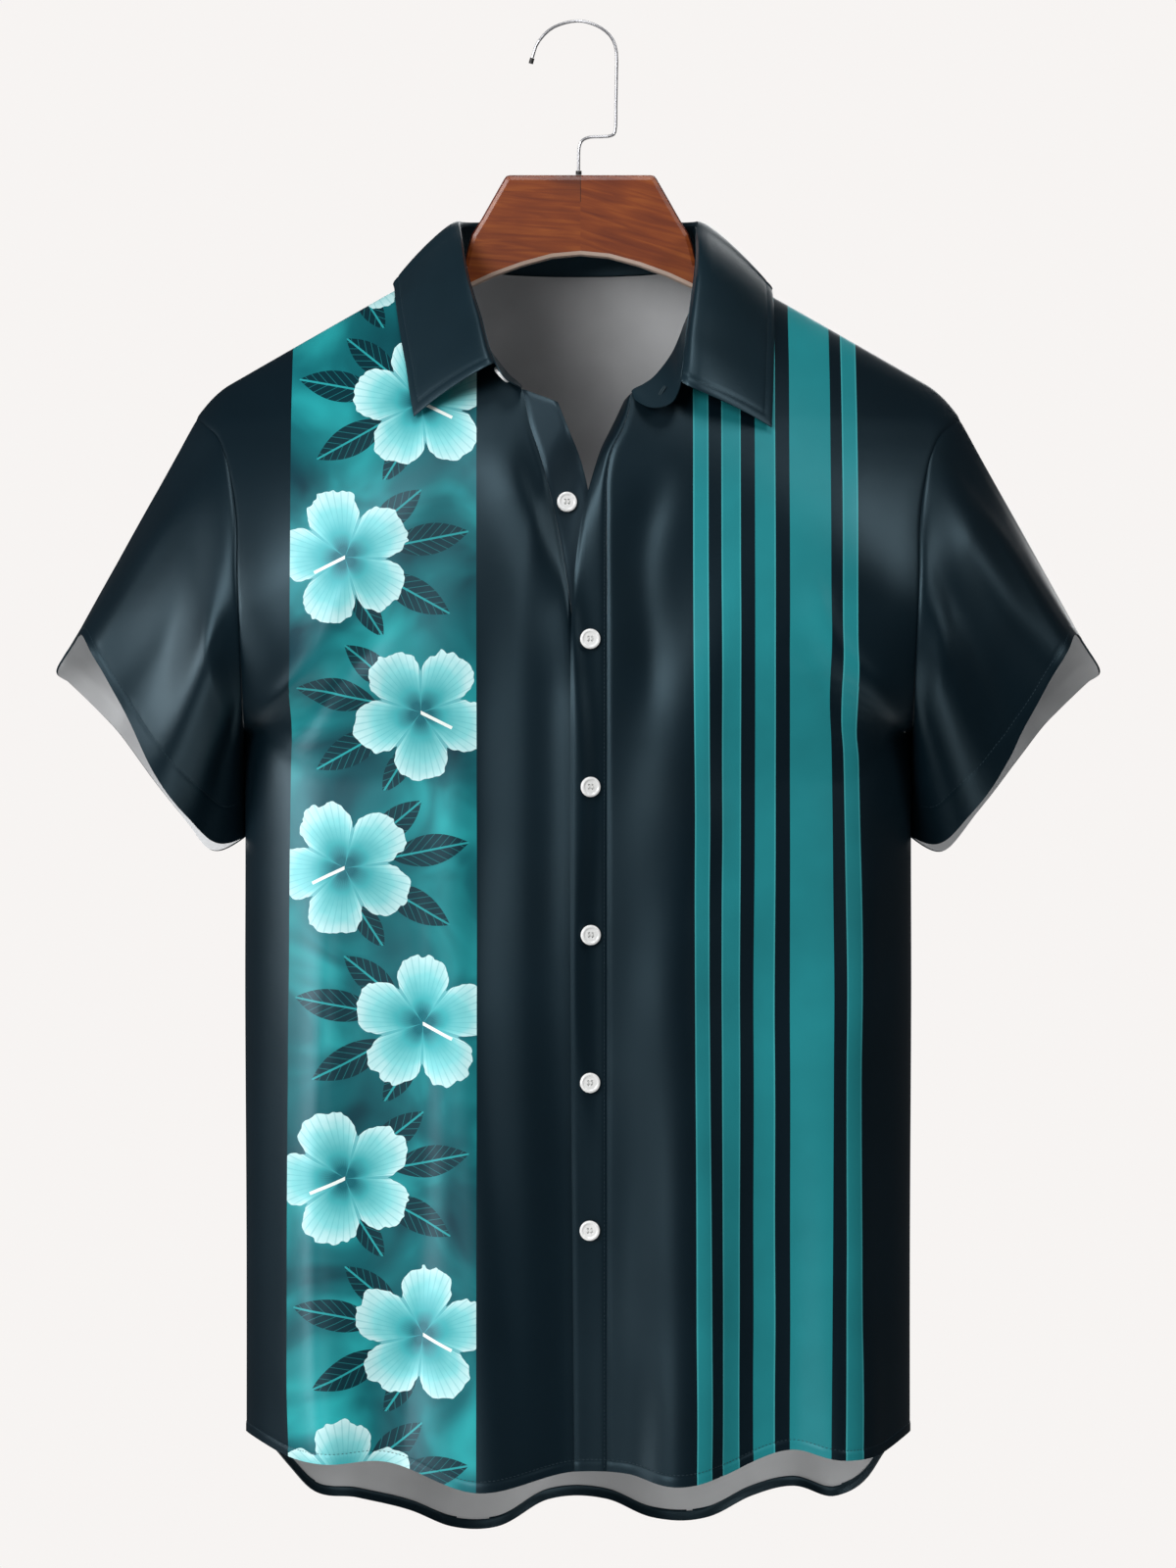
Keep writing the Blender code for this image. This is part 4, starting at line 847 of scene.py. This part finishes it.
def sleeve_walls(side_sign, push, creases):
    """Outer and inner grids of a sleeve: straight lines from the armhole to the cuff, pushed
    out by broad folds, by finer creases along the cloth and by a groove at the hem's stitches."""
    turn = 360 * (np.arange(SLEEVE_COLUMNS) + 0.5) / SLEEVE_COLUMNS
    start = armhole_ring(side_sign, turn)
    cuff = np.stack([read(CUFF, axis, turn) for axis in "xyz"], axis=-1)
    under = np.exp(-((turn - UNDERARM_TURN) / UNDERARM_SPREAD) ** 2)
    cuff += under[:, None] * np.array(UNDERARM_TUCK)
    cuff[:, 0] *= side_sign
    w = spaced(SLEEVE_LENGTH, SLEEVE_STEP)[:, None]
    grid = start * (1 - w[..., None]) + cuff * w[..., None]
    out = -side_sign * grid_normals(grid, ring=True)
    gap = (turn[:, None] - push["turn"] + 180) % 360 - 180
    broad = np.sum(push["out"] * np.exp(-(gap / push["spread"]) ** 2), axis=1)
    fullness = (SLEEVE_FULLNESS * np.sin(np.radians(turn)) ** 2
                * np.sin(math.pi * w ** SLEEVE_FULLEST))
    fade = ramp(w, 0.0, SLEEVE_FOLD_START) * (1 - SLEEVE_FOLD_LOSS * w)
    grid = grid + out * (broad * fade + fullness)[..., None]
    out = -side_sign * grid_normals(grid, ring=True)
    top, bottom, _, _ = from_border(grid)
    around, down = np.broadcast_arrays(SLEEVE_ROUND * turn / 360, -SLEEVE_LENGTH * w)
    hem = read(SLEEVE_HEM, "depth", turn)
    fine = (folds(around, down, creases) + puckers(around, down)) * ramp(w, 0.0, 0.14)
    fine += 0.3 * seam_dip(top) - 0.00035 * np.exp(-((bottom - hem) / 0.0009) ** 2)
    fine += 0.00025 * (1 - ramp(bottom, hem - 0.001, hem + 0.001))
    outer = grid + out * fine[..., None]
    thickness = HEM_CLOTH + (CLOTH - HEM_CLOTH) * ramp(bottom, 0.012, 0.014)
    line = np.stack([[np.interp(hem[k], bottom[::-1, k], outer[::-1, k, axis])
                      for axis in range(3)] for k in range(len(turn))])
    line, line_out = np.concatenate([line, line[:1]]), np.concatenate([out[-6], out[-6, :1]])
    cut = np.stack([around, down], axis=-1)
    return outer, outer - out * thickness[..., None], cut, (line, line_out)


for name, side_sign, push, creases in (("sleeve_right", -1, RIGHT_PUSH, RIGHT_CREASES),
                                       ("sleeve_left", 1, LEFT_PUSH, LEFT_CREASES)):
    outer, inner, cut, hem_line = sleeve_walls(side_sign, push, creases)
    sleeve = cloth_shell("shirt_" + name, outer, inner, cut, [plain_cloth, reverse_side],
                         lined=np.ones(outer.shape[:2], bool), ring=True)
    sleeve_hem = put_stitches("stitches_" + name, [hem_line], thread)
    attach(sleeve, "root")
    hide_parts(name)

# ---------------------------------------------------------------- neck band
# The band of the collar, sewn to the neckline. It stands up at the back and its two rounded
# ends lean out in the open neck.

LEFT_RISE = table("v x y z",
    (0, -0.0075, 0, 0.0205), (0.05, -0.003, -0.018, 0.0105), (0.09, 0.001, -0.024, -0.005),
    (0.13, 0.006, -0.0225, -0.0115), (0.16, 0.012, -0.018, -0.0148),
    (0.18, 0.0105, -0.0175, -0.015), (0.195, 0.0078, -0.014, -0.013),
    (0.205, 0.005, -0.0095, -0.0095), (0.21, 0.0025, -0.0045, -0.005))
RIGHT_RISE = table("v x y z",
    (0, 0.0075, 0, 0.0205), (0.05, 0.006, -0.019, 0.0095), (0.09, 0.0055, -0.0245, 0.001),
    (0.13, 0.0015, -0.0255, -0.0025), (0.16, -0.001, -0.025, -0.0035),
    (0.18, -0.0015, -0.023, -0.0038), (0.195, -0.0012, -0.018, -0.003),
    (0.205, -0.0008, -0.012, -0.002), (0.21, -0.0004, -0.0055, -0.001))
BACK_NECK_COLUMNS = 12
STAND_END_ROWS = (0.18, 0.20, 0.207)


def neck_front(seam, rise, v):
    """Neckline points of one front, the neck band's rise there and the cloth's outward side."""
    x, z = read(seam, "x", v), read(seam, "z", v)
    point = on_body(x, z, -1)
    up = np.stack([read(rise, axis, v) for axis in "xyz"], axis=-1)
    out = body_normal(x, z, -1)
    at_crest = v == 0
    point[at_crest, 1] = 0.0
    out[at_crest] = unit(np.array([math.copysign(0.5, x[0]), 0.0, 1.0]))
    return point, up, out


def back_neck_places():
    """Places along the back neckline, closer together where it turns to the shoulders."""
    turn = np.linspace(-math.pi / 2, math.pi / 2, BACK_NECK_COLUMNS + 1)[1:-1]
    return NECK_POINT * np.sin(turn)


def neck_ring(right_rows, left_rows):
    """Neckline points, rise and outward side, from the right front round to the left."""
    x = back_neck_places()
    z = read(BACK_NECK, "z", np.abs(x))
    up = np.stack([read(BACK_NECK, "rise_" + axis, np.abs(x)) for axis in "xyz"], axis=-1)
    up[:, 0] *= np.sign(x)
    parts = (neck_front(RIGHT_SEAM, RIGHT_RISE, right_rows[::-1]),
             (on_body(x, z, 1), up, body_normal(x, z, 1)),
             neck_front(LEFT_SEAM, LEFT_RISE, left_rows))
    return [np.concatenate(group) for group in zip(*parts)]


def resample(grid, axis, step, edge):
    """The same surface with more points along one axis, from a cubic through its own, and
    their distances along it. edge lists the steps wanted at either end."""
    grid = np.moveaxis(grid, axis, 0)
    length = np.linalg.norm(np.diff(grid, axis=0), axis=-1).mean(axis=1).cumsum()
    length = np.concatenate([[0.0], length])
    at = spaced(length[-1], step, edge, edge) * length[-1]
    finer = smooth(at, length, grid.reshape(len(grid), -1))
    return np.moveaxis(finer.reshape(len(at), *grid.shape[1:]), 0, axis), at


def edge_groove(distance, line):
    """A groove of 0.3 mm under the stitches along an edge, and the edge itself rounded."""
    return (-0.0003 * np.exp(-((distance - line) / 0.0007) ** 2)
            - 0.0004 * np.exp(-(distance / 0.0009) ** 2))


def edge_path(grid, k):
    """Points of a grid k steps inside its first row, its last column and its last row."""
    return np.concatenate([grid[k, k:-k - 1], grid[k:-k - 1, -k - 1], grid[-k - 1, k:-k][::-1]])


def collar_piece(names, net, side, step, edge, line_row, proud):
    """A wall of 1 mm on a finer grid of the net, with a groove and stitches along its three
    free edges at one of the edge's steps; gives both pieces and the wall's faces."""
    flat, around = resample(net, 0, COLLAR_STEP, edge)
    flat, up = resample(flat, 1, step, edge)
    out = side * grid_normals(flat)
    nearest = np.minimum(np.minimum(around, around[-1] - around)[:, None], (up[-1] - up)[None])
    outer = flat + out * (proud + edge_groove(nearest, edge[line_row]))[..., None]
    inner = flat + out * (proud - COLLAR_CLOTH)
    cut = np.stack(np.broadcast_arrays(around[:, None], up[None]), axis=-1)
    wall = cloth_shell(names[0], outer, inner, cut, [collar_cloth, collar_cloth])
    seam = [(edge_path(outer, line_row), edge_path(out, line_row))]
    return wall, put_stitches(names[1], seam, thread), np.concatenate([outer, inner])


def rod(line, radius, first, second):
    """Eight-sided tube round a line, its ring spanned by two directions."""
    turn = np.linspace(0, 2 * math.pi, 9)[None, :-1, None]
    return line[:, None] + radius * (np.cos(turn) * first + np.sin(turn) * second)


def put_rods(name, rods, finishes, finish_of_rod):
    """Several such tubes in one mesh."""
    points = np.concatenate([tube.reshape(-1, 3) for tube in rods])
    one = grid_faces(len(rods[0]), 8, True)
    faces = np.concatenate([one + len(rods[0]) * 8 * k for k in range(len(rods))])
    piece = put_mesh(name, points, faces, points[:, ::2], finishes,
                     np.repeat(finish_of_rod, len(one)), 180)
    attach(piece, "root")
    return piece


COLLAR_CLOTH, COLLAR_STEP = 0.0010, 0.0025
STAND_STEPS = np.array([0, 0.0008, 0.0016, 0.0026, 0.0040])
collar_cloth = cloth_finish("navy polyester collar", (0.0055, 0.0150, 0.0220))
rows = np.sort(np.concatenate([NECKLINE_ROWS, STAND_END_ROWS]))
base, rise, out = neck_ring(rows, rows)
h = np.linspace(0, 1, 4)[None, :, None]
stand, stand_seam, stand_faces = collar_piece(
    ("shirt_collar_stand", "stitches_stand"),
    (base + out * 2 * SEAM)[:, None] + rise[:, None] * h, -1, 0.0020, STAND_STEPS, 2, 0.0)
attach(stand, "root")
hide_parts("collar_stand")

# Buttonhole of the neck band: its middle, half its run, and the lips' distance from it
BUTTONHOLE = (0.0509, -0.2281)
BUTTONHOLE_RUN = (0.0019, 0.0030)
LIP_GAP = 0.0006


def put_buttonhole(name, faces_seen, finishes):
    """Two stitched lips and a near-black bar of painted shade for the slit between them, laid on the
    nearest face of the neck band: three thin bars, swollen in the middle and closed to a point at
    both ends."""
    x, z = BUTTONHOLE
    points = faces_seen.reshape(-1, 3)
    points = points[np.hypot(points[:, 0] - x, points[:, 2] - z) < 0.006]
    points = points[points[:, 1] < points[:, 1].min() + 0.003]
    fit = np.c_[points[:, 0], points[:, 2], np.ones(len(points))]
    slope_x, slope_z, _ = np.linalg.lstsq(fit, points[:, 1], rcond=None)[0]
    near = points[np.argmin(np.hypot(points[:, 0] - x, points[:, 2] - z))]
    middle = np.array([x, near[1] + slope_x * (x - near[0]) + slope_z * (z - near[2]), z])
    facing = unit(np.array([slope_x, -1.0, slope_z]))
    run_x, run_z = BUTTONHOLE_RUN
    run = np.array([run_x, slope_x * run_x + slope_z * run_z, run_z])
    aside = unit(np.cross(run, facing))
    along = np.linspace(-1, 1, 13)[:, None]
    swell = np.sqrt(np.maximum(1 - along ** 4, 0.0004))
    rods = [rod(middle + run * along + aside * side * swell, radius * swell[..., None],
                aside, facing)
            for side, radius in ((-LIP_GAP, 0.00045), (LIP_GAP, 0.00045), (0.0, 0.00035))]
    return put_rods(name, rods, finishes, [0, 0, 1])


lip_thread = cloth_finish("navy thread", (0.020, 0.034, 0.042), roughness=0.6)
# The slit is a near-black bar of painted shade, standing for the dark inside of the cut.
slot_shadow = cloth_finish("dark slot", (0.001, 0.002, 0.003), roughness=0.8)
slit = put_buttonhole("stitches_buttonhole", stand_faces, [lip_thread, slot_shadow])

# ---------------------------------------------------------------- collar leaf
# The turned-down part of the collar. It rolls over the top of the neck band and falls to two
# points, with stitches along its edges.

RIGHT_COLLAR = table("v x z",
    (0, -0.1128, -0.164), (0.05, -0.1108, -0.181), (0.09, -0.1068, -0.205), (0.12, -0.103, -0.225),
    (0.15, -0.0995, -0.2434))
LEFT_COLLAR = table("v x z",
    (0, 0.1182, -0.164), (0.05, 0.1196, -0.183), (0.08, 0.1194, -0.204), (0.11, 0.1184, -0.228),
    (0.14, 0.1174, -0.2499))
BACK_COLLAR = table("x edge z",
    (0, 0, -0.185), (0.025, 0.31, -0.1845), (0.05, 0.62, -0.181), (0.07, 0.87, -0.174),
    (0.08, 1, -0.164))
LAY = 0.0042
RIDGE_SHARE, RIDGE_STEPS = 0.7, 5
COLLAR_ROLL, COLLAR_SWING = 0.009, 0.002
COLLAR_BEND, COLLAR_CROWN = 0.42, 0.007
COLLAR_ROWS = 7


def ridge_height(x, distance, side):
    """Height of the body at a distance from the plane of the seams, and that share of its
    depth: the depth's own formula turned round, and repeated for the width at that height."""
    ridge = shoulder_line(x)
    height = ridge
    for _ in range(RIDGE_STEPS):
        half_width = read(SIDE, "half_width", height)
        across = np.clip(np.abs(x) / (half_width * (1 + ARMHOLE_WIDENING)), 0, 1)
        oval = (1 - across ** SECTION_POWER) ** (1 / SECTION_POWER)
        full = read(DEPTH, "front" if side < 0 else "back", height)
        share = np.clip(distance / (full * (ARMHOLE_SHARE + (1 - ARMHOLE_SHARE) * oval)), 0, 1)
        height = ridge - ROUND_HEIGHT * (1 - np.sqrt(1 - share ** (1 / ROUND_POWER)))
    return height, share


def clear_of_body(points, clearance):
    """Points too near the body, moved up over the shoulders or out lower down."""
    x, y, z = (points[..., k] for k in range(3))
    front_height, front_share = ridge_height(x, -np.minimum(y, 0), -1)
    back_height, back_share = ridge_height(x, np.maximum(y, 0), 1)
    on_shoulder = np.where(y < 0, front_share, back_share) < RIDGE_SHARE
    up_by = np.where(y < 0, front_height, back_height) + clearance - z
    out_by = np.where(y < 0, depth(x, z, -1), depth(x, z, 1)) + clearance - np.abs(y)
    z = z + np.where(on_shoulder, np.maximum(up_by, 0), 0)
    y = y + np.where(on_shoulder, 0, np.maximum(out_by, 0)) * np.where(y < 0, -1, 1)
    return np.stack([x, y, z], axis=-1)


def collar_edge(right_rows, left_rows):
    """The leaf's outer edge, in the order of neck_ring."""
    parts = []
    for columns, v in ((RIGHT_COLLAR, right_rows[::-1]), (LEFT_COLLAR, left_rows)):
        x, z = read(columns, "x", v), read(columns, "z", v)
        parts.append(on_body(x, z, -1, lift=0.0))
    place = back_neck_places()
    reach = np.where(place < 0, -RIGHT_COLLAR["x"][0], LEFT_COLLAR["x"][0])
    x = np.sign(place) * read(BACK_COLLAR, "edge", np.abs(place)) * reach
    parts.insert(1, on_body(x, read(BACK_COLLAR, "z", np.abs(place)), 1, lift=0.0))
    return clear_of_body(np.concatenate(parts), LAY)


def leaf_net():
    """Coarse grid of the leaf: at each row a cubic curve from the band's top, up over the
    roll, to the outer edge, kept clear of the body below."""
    rows = np.array(NECKLINE_ROWS)
    right_rows = rows[rows < RIGHT_COLLAR["v"][-1] + 0.005]
    left_rows = np.append(rows[rows < LEFT_COLLAR["v"][-1] - 0.005], LEFT_COLLAR["v"][-1])
    base, rise, out = neck_ring(right_rows, left_rows)
    up = unit(rise)
    top = base + out * 2 * SEAM + rise + up * 2 * SEAM
    edge = collar_edge(right_rows, left_rows)
    fall = edge - top
    away = unit(np.cross(np.gradient(top, axis=0), fall))
    q = np.linspace(0, 1, COLLAR_ROWS + 1)[None, :, None]
    first = (top + up * COLLAR_ROLL + away * COLLAR_SWING)[:, None]
    second = (top + fall * COLLAR_BEND + away * COLLAR_CROWN)[:, None]
    grid = ((1 - q) ** 3 * top[:, None] + 3 * q * (1 - q) ** 2 * first
            + 3 * q * q * (1 - q) * second + q ** 3 * edge[:, None])
    fallen = np.arange(COLLAR_ROWS + 1) > 2
    return np.where(fallen[None, :, None], clear_of_body(grid, LAY), grid)


LEAF_STEPS = np.array([0, 0.0008, 0.0018, 0.0032, 0.0044, 0.0056, 0.0068])
collar_leaf, leaf_seam, _ = collar_piece(("shirt_collar_leaf", "stitches_leaf"), leaf_net(), 1,
                                         0.0022, LEAF_STEPS, 5, 0.0005)
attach(collar_leaf, "root")
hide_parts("collar_leaf")

# ---------------------------------------------------------------- buttons
# White four-hole buttons of 12 mm, sewn on with two upright bars of thread. One, left open, is
# on the under band, five close the front and one sits on the neck band.

BUTTON_RADIUS = 0.0061
BUTTON_HEIGHT = 0.0022
BUTTON_SHANK = 0.0006
RIM_START, RIM_TOP = 0.0038, 0.0048
DISH, RIM_ROUNDING = 0.0006, 0.0009
HOLE_PLACE = 0.0011
HOLE_RADIUS, HOLE_DEPTH = 0.00058, 0.0011
BAR_RADIUS = 0.00030
FIRST_FRONT_BUTTON = (0.0071, -0.3787)
BUTTON_SPACING = 0.0893
TOP_BUTTON = (-0.0072, -0.2958)
STAND_BUTTON = (0.1765, 0.48)


def pearl_finish():
    """Glossy white plastic with a faint cloudiness and a clear top coat."""
    material, tree, surface = new_finish("white plastic")
    place = output(tree, "TexCoord", "Object")
    cloud = output(tree, "TexNoise", "Fac", Vector=place, Scale=260.0)
    fill(surface, Base_Color=mix(cloud, (0.74, 0.74, 0.73), (0.86, 0.87, 0.87)), Roughness=0.3,
         Coat_Weight=0.6, Coat_Roughness=0.1)
    return material


def button_heights(x, y):
    """Front of a button: a dished middle inside a rounded rim, with four holes sunk in it."""
    radius = np.sqrt(x * x + y * y)
    rim = ramp(radius, RIM_START, RIM_TOP)
    edge = np.clip((radius - RIM_TOP) / (BUTTON_RADIUS - RIM_TOP), 0, 1)
    height = BUTTON_HEIGHT - DISH * (1 - rim) - RIM_ROUNDING * (1 - np.sqrt(1 - edge ** 2))
    for hole_x in (-HOLE_PLACE, HOLE_PLACE):
        for hole_y in (-HOLE_PLACE, HOLE_PLACE):
            away = np.sqrt((x - hole_x) ** 2 + (y - hole_y) ** 2)
            sunk = 1 - ramp(away, HOLE_RADIUS - 0.00025, HOLE_RADIUS + 0.0001)
            height = height - HOLE_DEPTH * sunk
    return height


def put_button(name, centre, facing, finishes):
    """A square grid bent to a disc for the front, and one for the flat back, whose middle
    reaches down to the cloth as the thread does; then the two bars of thread."""
    u, w = np.meshgrid(np.linspace(-1, 1, 61), np.linspace(-1, 1, 61), indexing="ij")
    x = BUTTON_RADIUS * u * np.sqrt(1 - w * w / 2)
    y = BUTTON_RADIUS * w * np.sqrt(1 - u * u / 2)
    across = unit(np.cross([0.0, 0.0, 1.0], facing))
    upward = np.cross(facing, across)
    flat = centre + x[..., None] * across + y[..., None] * upward
    front = flat + facing * button_heights(x, y)[..., None]
    shank = BUTTON_SHANK * (1 - ramp(np.sqrt(x * x + y * y), 0.0012, 0.0018))
    back = flat + facing * (0.0002 - shank[..., None])
    disc = cloth_shell("shirt_" + name, front, back, np.stack([x, y], axis=-1),
                       [finishes[0], finishes[0]])
    along = np.linspace(-1, 1, 9)[:, None]
    arch = facing * (BUTTON_HEIGHT - 0.0003 - 0.0009 * along ** 4)
    rods = [rod(centre + side * across + 1.1 * HOLE_PLACE * along * upward + arch, BAR_RADIUS,
                across, facing) for side in (-HOLE_PLACE, HOLE_PLACE)]
    put_rods("thread_" + name, rods, [finishes[1]], [0, 0])
    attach(disc, "root")
    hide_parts(name)


def front_surface(x, z, under):
    """Points of the front's outer face, folds included."""
    flat = on_body(x, z, -1)
    if under:
        flat = tucked(flat)
    return flat + body_normal(x, z, -1) * front_relief(x, z)[..., None]


pearl = pearl_finish()
white_thread = cloth_finish("white thread", (0.62, 0.62, 0.60), roughness=0.6)
spots = [TOP_BUTTON] + [(FIRST_FRONT_BUTTON[0], FIRST_FRONT_BUTTON[1] - k * BUTTON_SPACING)
                        for k in range(5)]
for number, (x, z) in enumerate(spots, start=1):
    around_x = x + BUTTON_RADIUS * np.array([0, -1, 1, 0, 0])
    around_z = z + BUTTON_RADIUS * np.array([0, 0, 0, -1, 1])
    points = front_surface(around_x, around_z, number == 1)
    facing = unit(np.cross(points[2] - points[1], points[4] - points[3]))
    highest = np.max((points - points[0]) @ facing)
    put_button("button_%d" % number, points[0] + facing * (highest + BUTTON_SHANK), facing,
               (pearl, white_thread))
row, height = STAND_BUTTON
base, rise, out = neck_front(RIGHT_SEAM, RIGHT_RISE, row + np.array([0.004, 0.0, -0.004]))
facing = -unit(np.cross(base[2] - base[0], rise[1]))
put_button("button_collar", base[1] + out[1] * 2 * SEAM + rise[1] * height + facing * 2 * SEAM,
           facing, (pearl, white_thread))

# ---------------------------------------------------------------- hanger
# A flat wooden bar in red-brown varnish, glued from two boards, and a bent chromed wire with
# a dark cap on its end and a dark ferrule in the wood.

GLUE_LINE = 0.00144
GLUE_END = -0.1100


def wood_finish():
    """Red-brown varnished wood: streaks stretched along the bar, a little aslant, broad darker
    patches, and a short dark glue line at the top with the left board darker; painted shade on
    the long edges, the faces turned to either side, and a painted reflection that makes the
    underside pale."""
    material, tree, surface = new_finish("varnished wood")
    place = output(tree, "TexCoord", "Object")
    across, _, up = split(place)
    right = across > GLUE_LINE
    slant = up + across * (right * 0.22 + 0.06)
    streak = output(tree, "CombineXYZ", X=across * 14.0, Y=slant * 190.0, Z=right * 5.0)
    grain = output(tree, "TexNoise", "Fac", Vector=streak, Scale=1.6, Detail=5.0, Distortion=0.9)
    patch = output(tree, "TexNoise", "Fac", Vector=place, Scale=26.0, Detail=2.0)
    colour = colour_ramp(grain * 0.62 + patch * 0.38, [
        (0.28, (0.105, 0.018, 0.007)), (0.50, (0.205, 0.042, 0.009)),
        (0.72, (0.330, 0.086, 0.015))])
    near_top = calc("MINIMUM", calc("MAXIMUM", (up - GLUE_END) * 60.0, 0.0), 0.8)
    side = abs(across - GLUE_LINE)
    near_seam = calc("MAXIMUM", 1.0 - side * 45.0, 0.0)
    colour = mix(near_top * near_seam * (1.0 - right), colour, (0.10, 0.026, 0.012))
    line = (side < 0.00022) * (up > GLUE_END)
    colour = mix(line * 0.85, colour, (0.02, 0.006, 0.004))
    normal = split(output(tree, "NewGeometry", "Normal"))
    # Painted shade: faces turned to either side are darkened.
    colour = mix((abs(normal[0]) > 0.4) * 0.8, colour, (0.09, 0.014, 0.008))
    # Painted highlight: faces turned downward, the underside's bevel, are made pale like a
    # reflection.
    colour = mix((normal[2] < -0.3) * 0.7, colour, (0.72, 0.58, 0.48))
    fill(surface, Base_Color=colour, Roughness=0.38, Coat_Weight=0.25, Coat_Roughness=0.18,
         Normal=output(tree, "Bump", Strength=0.15, Distance=0.0002, Height=grain))
    return material


def plain_finish(name, colour, roughness, metallic=0.0):
    """A finish of one colour with a slow change in its gloss."""
    material, tree, surface = new_finish(name)
    place = output(tree, "TexCoord", "Object")
    cloud = output(tree, "TexNoise", "Fac", Vector=place, Scale=60.0)
    gloss = output(tree, "MapRange", Value=cloud, To_Min=roughness * 0.8,
                   To_Max=roughness * 1.2)
    fill(surface, Base_Color=colour, Roughness=gloss, Metallic=metallic)
    return material


for node, finish in (("hanger_bar", wood_finish()),
                     ("hanger_hook", plain_finish("chromed wire", (0.42, 0.42, 0.44), 0.30, 0.7)),
                     ("hook_tip", plain_finish("dark cap", (0.010, 0.010, 0.010), 0.5)),
                     ("hook_ferrule", plain_finish("dark ferrule", (0.012, 0.011, 0.010), 0.5))):
    bpy.data.objects[node].data.materials.clear()
    bpy.data.objects[node].data.materials.append(finish)

# ---------------------------------------------------------------- studio
# Pale floor and a plain bright surround, large soft lights from the left front and side,
# smaller ones from the right, above and behind, and a low one under the hem.

floor_mesh = bpy.data.meshes.new("floor")
FLOOR_LEVEL = -1.7
FLOOR_HALF = 1.3
corners = [(x * FLOOR_HALF, y * FLOOR_HALF, FLOOR_LEVEL)
           for x, y in ((-1, -1), (1, -1), (1, 1), (-1, 1))]
floor_mesh.from_pydata(corners, [], [(0, 1, 2, 3)])
floor = bpy.data.objects.new("floor", floor_mesh)
bpy.context.scene.collection.objects.link(floor)
floor_finish, _, surface = new_finish("pale floor")
fill(surface, Base_Color=(0.8, 0.79, 0.77), Roughness=0.9)
floor_mesh.materials.append(floor_finish)

surround = bpy.data.worlds.new("pale surround")
surround.use_nodes = True
bpy.context.scene.world = surround
tree = surround.node_tree
seen = tree.nodes["Background"]
fill(seen, Color=(0.93, 0.905, 0.89))
glow = output(tree, "Background", Color=(0.95, 0.97, 1.0), Strength=0.05)
choose = tree.nodes.new("ShaderNodeMixShader")
for socket, value in zip(choose.inputs, (output(tree, "LightPath", "Is Camera Ray"), glow,
                                         Value(tree, seen.outputs[0]))):
    feed(socket, value)
fill(tree.nodes["World Output"], Surface=Value(tree, choose.outputs[0]))

# Lamps: place, width and power; all are square and aim at the shirt's middle
LAMPS = (
    ("left front softbox", (-1.75, -2.75, 0.7), 1.4, 76.0),
    ("left side softbox", (-2.9, -0.5, -0.3), 1.2, 50.0),
    ("right softbox", (2.5, -1.6, 1.3), 1.0, 30.0),
    ("top softbox", (0.2, -1.4, 2.3), 1.0, 30.0),
    ("rear softbox", (0.4, 3.0, 0.8), 2.0, 45.0),
    ("low softbox", (-0.35, -1.1, -1.6), 0.8, 5.5),
)
for name, place, size, power in LAMPS:
    lamp = bpy.data.lights.new(name, "AREA")
    lamp.shape = "SQUARE"
    lamp.size = size
    lamp.energy = power
    holder = bpy.data.objects.new(name, lamp)
    holder.location = place
    aim = Vector((0.0, 0.0, -0.45)) - Vector(place)
    holder.rotation_euler = aim.to_track_quat("-Z", "Y").to_euler()
    bpy.context.scene.collection.objects.link(holder)

camera_data = bpy.data.cameras.new("camera")
camera_data.sensor_width = 36.0
camera_data.lens = 300.0
camera = bpy.data.objects.new("camera", camera_data)
camera.location = (0.006, -8.0, -0.4662)
camera.rotation_euler = (math.pi / 2, 0.0, 0.0)
bpy.context.scene.collection.objects.link(camera)
bpy.context.scene.camera = camera
bpy.context.scene.view_settings.view_transform = "Standard"
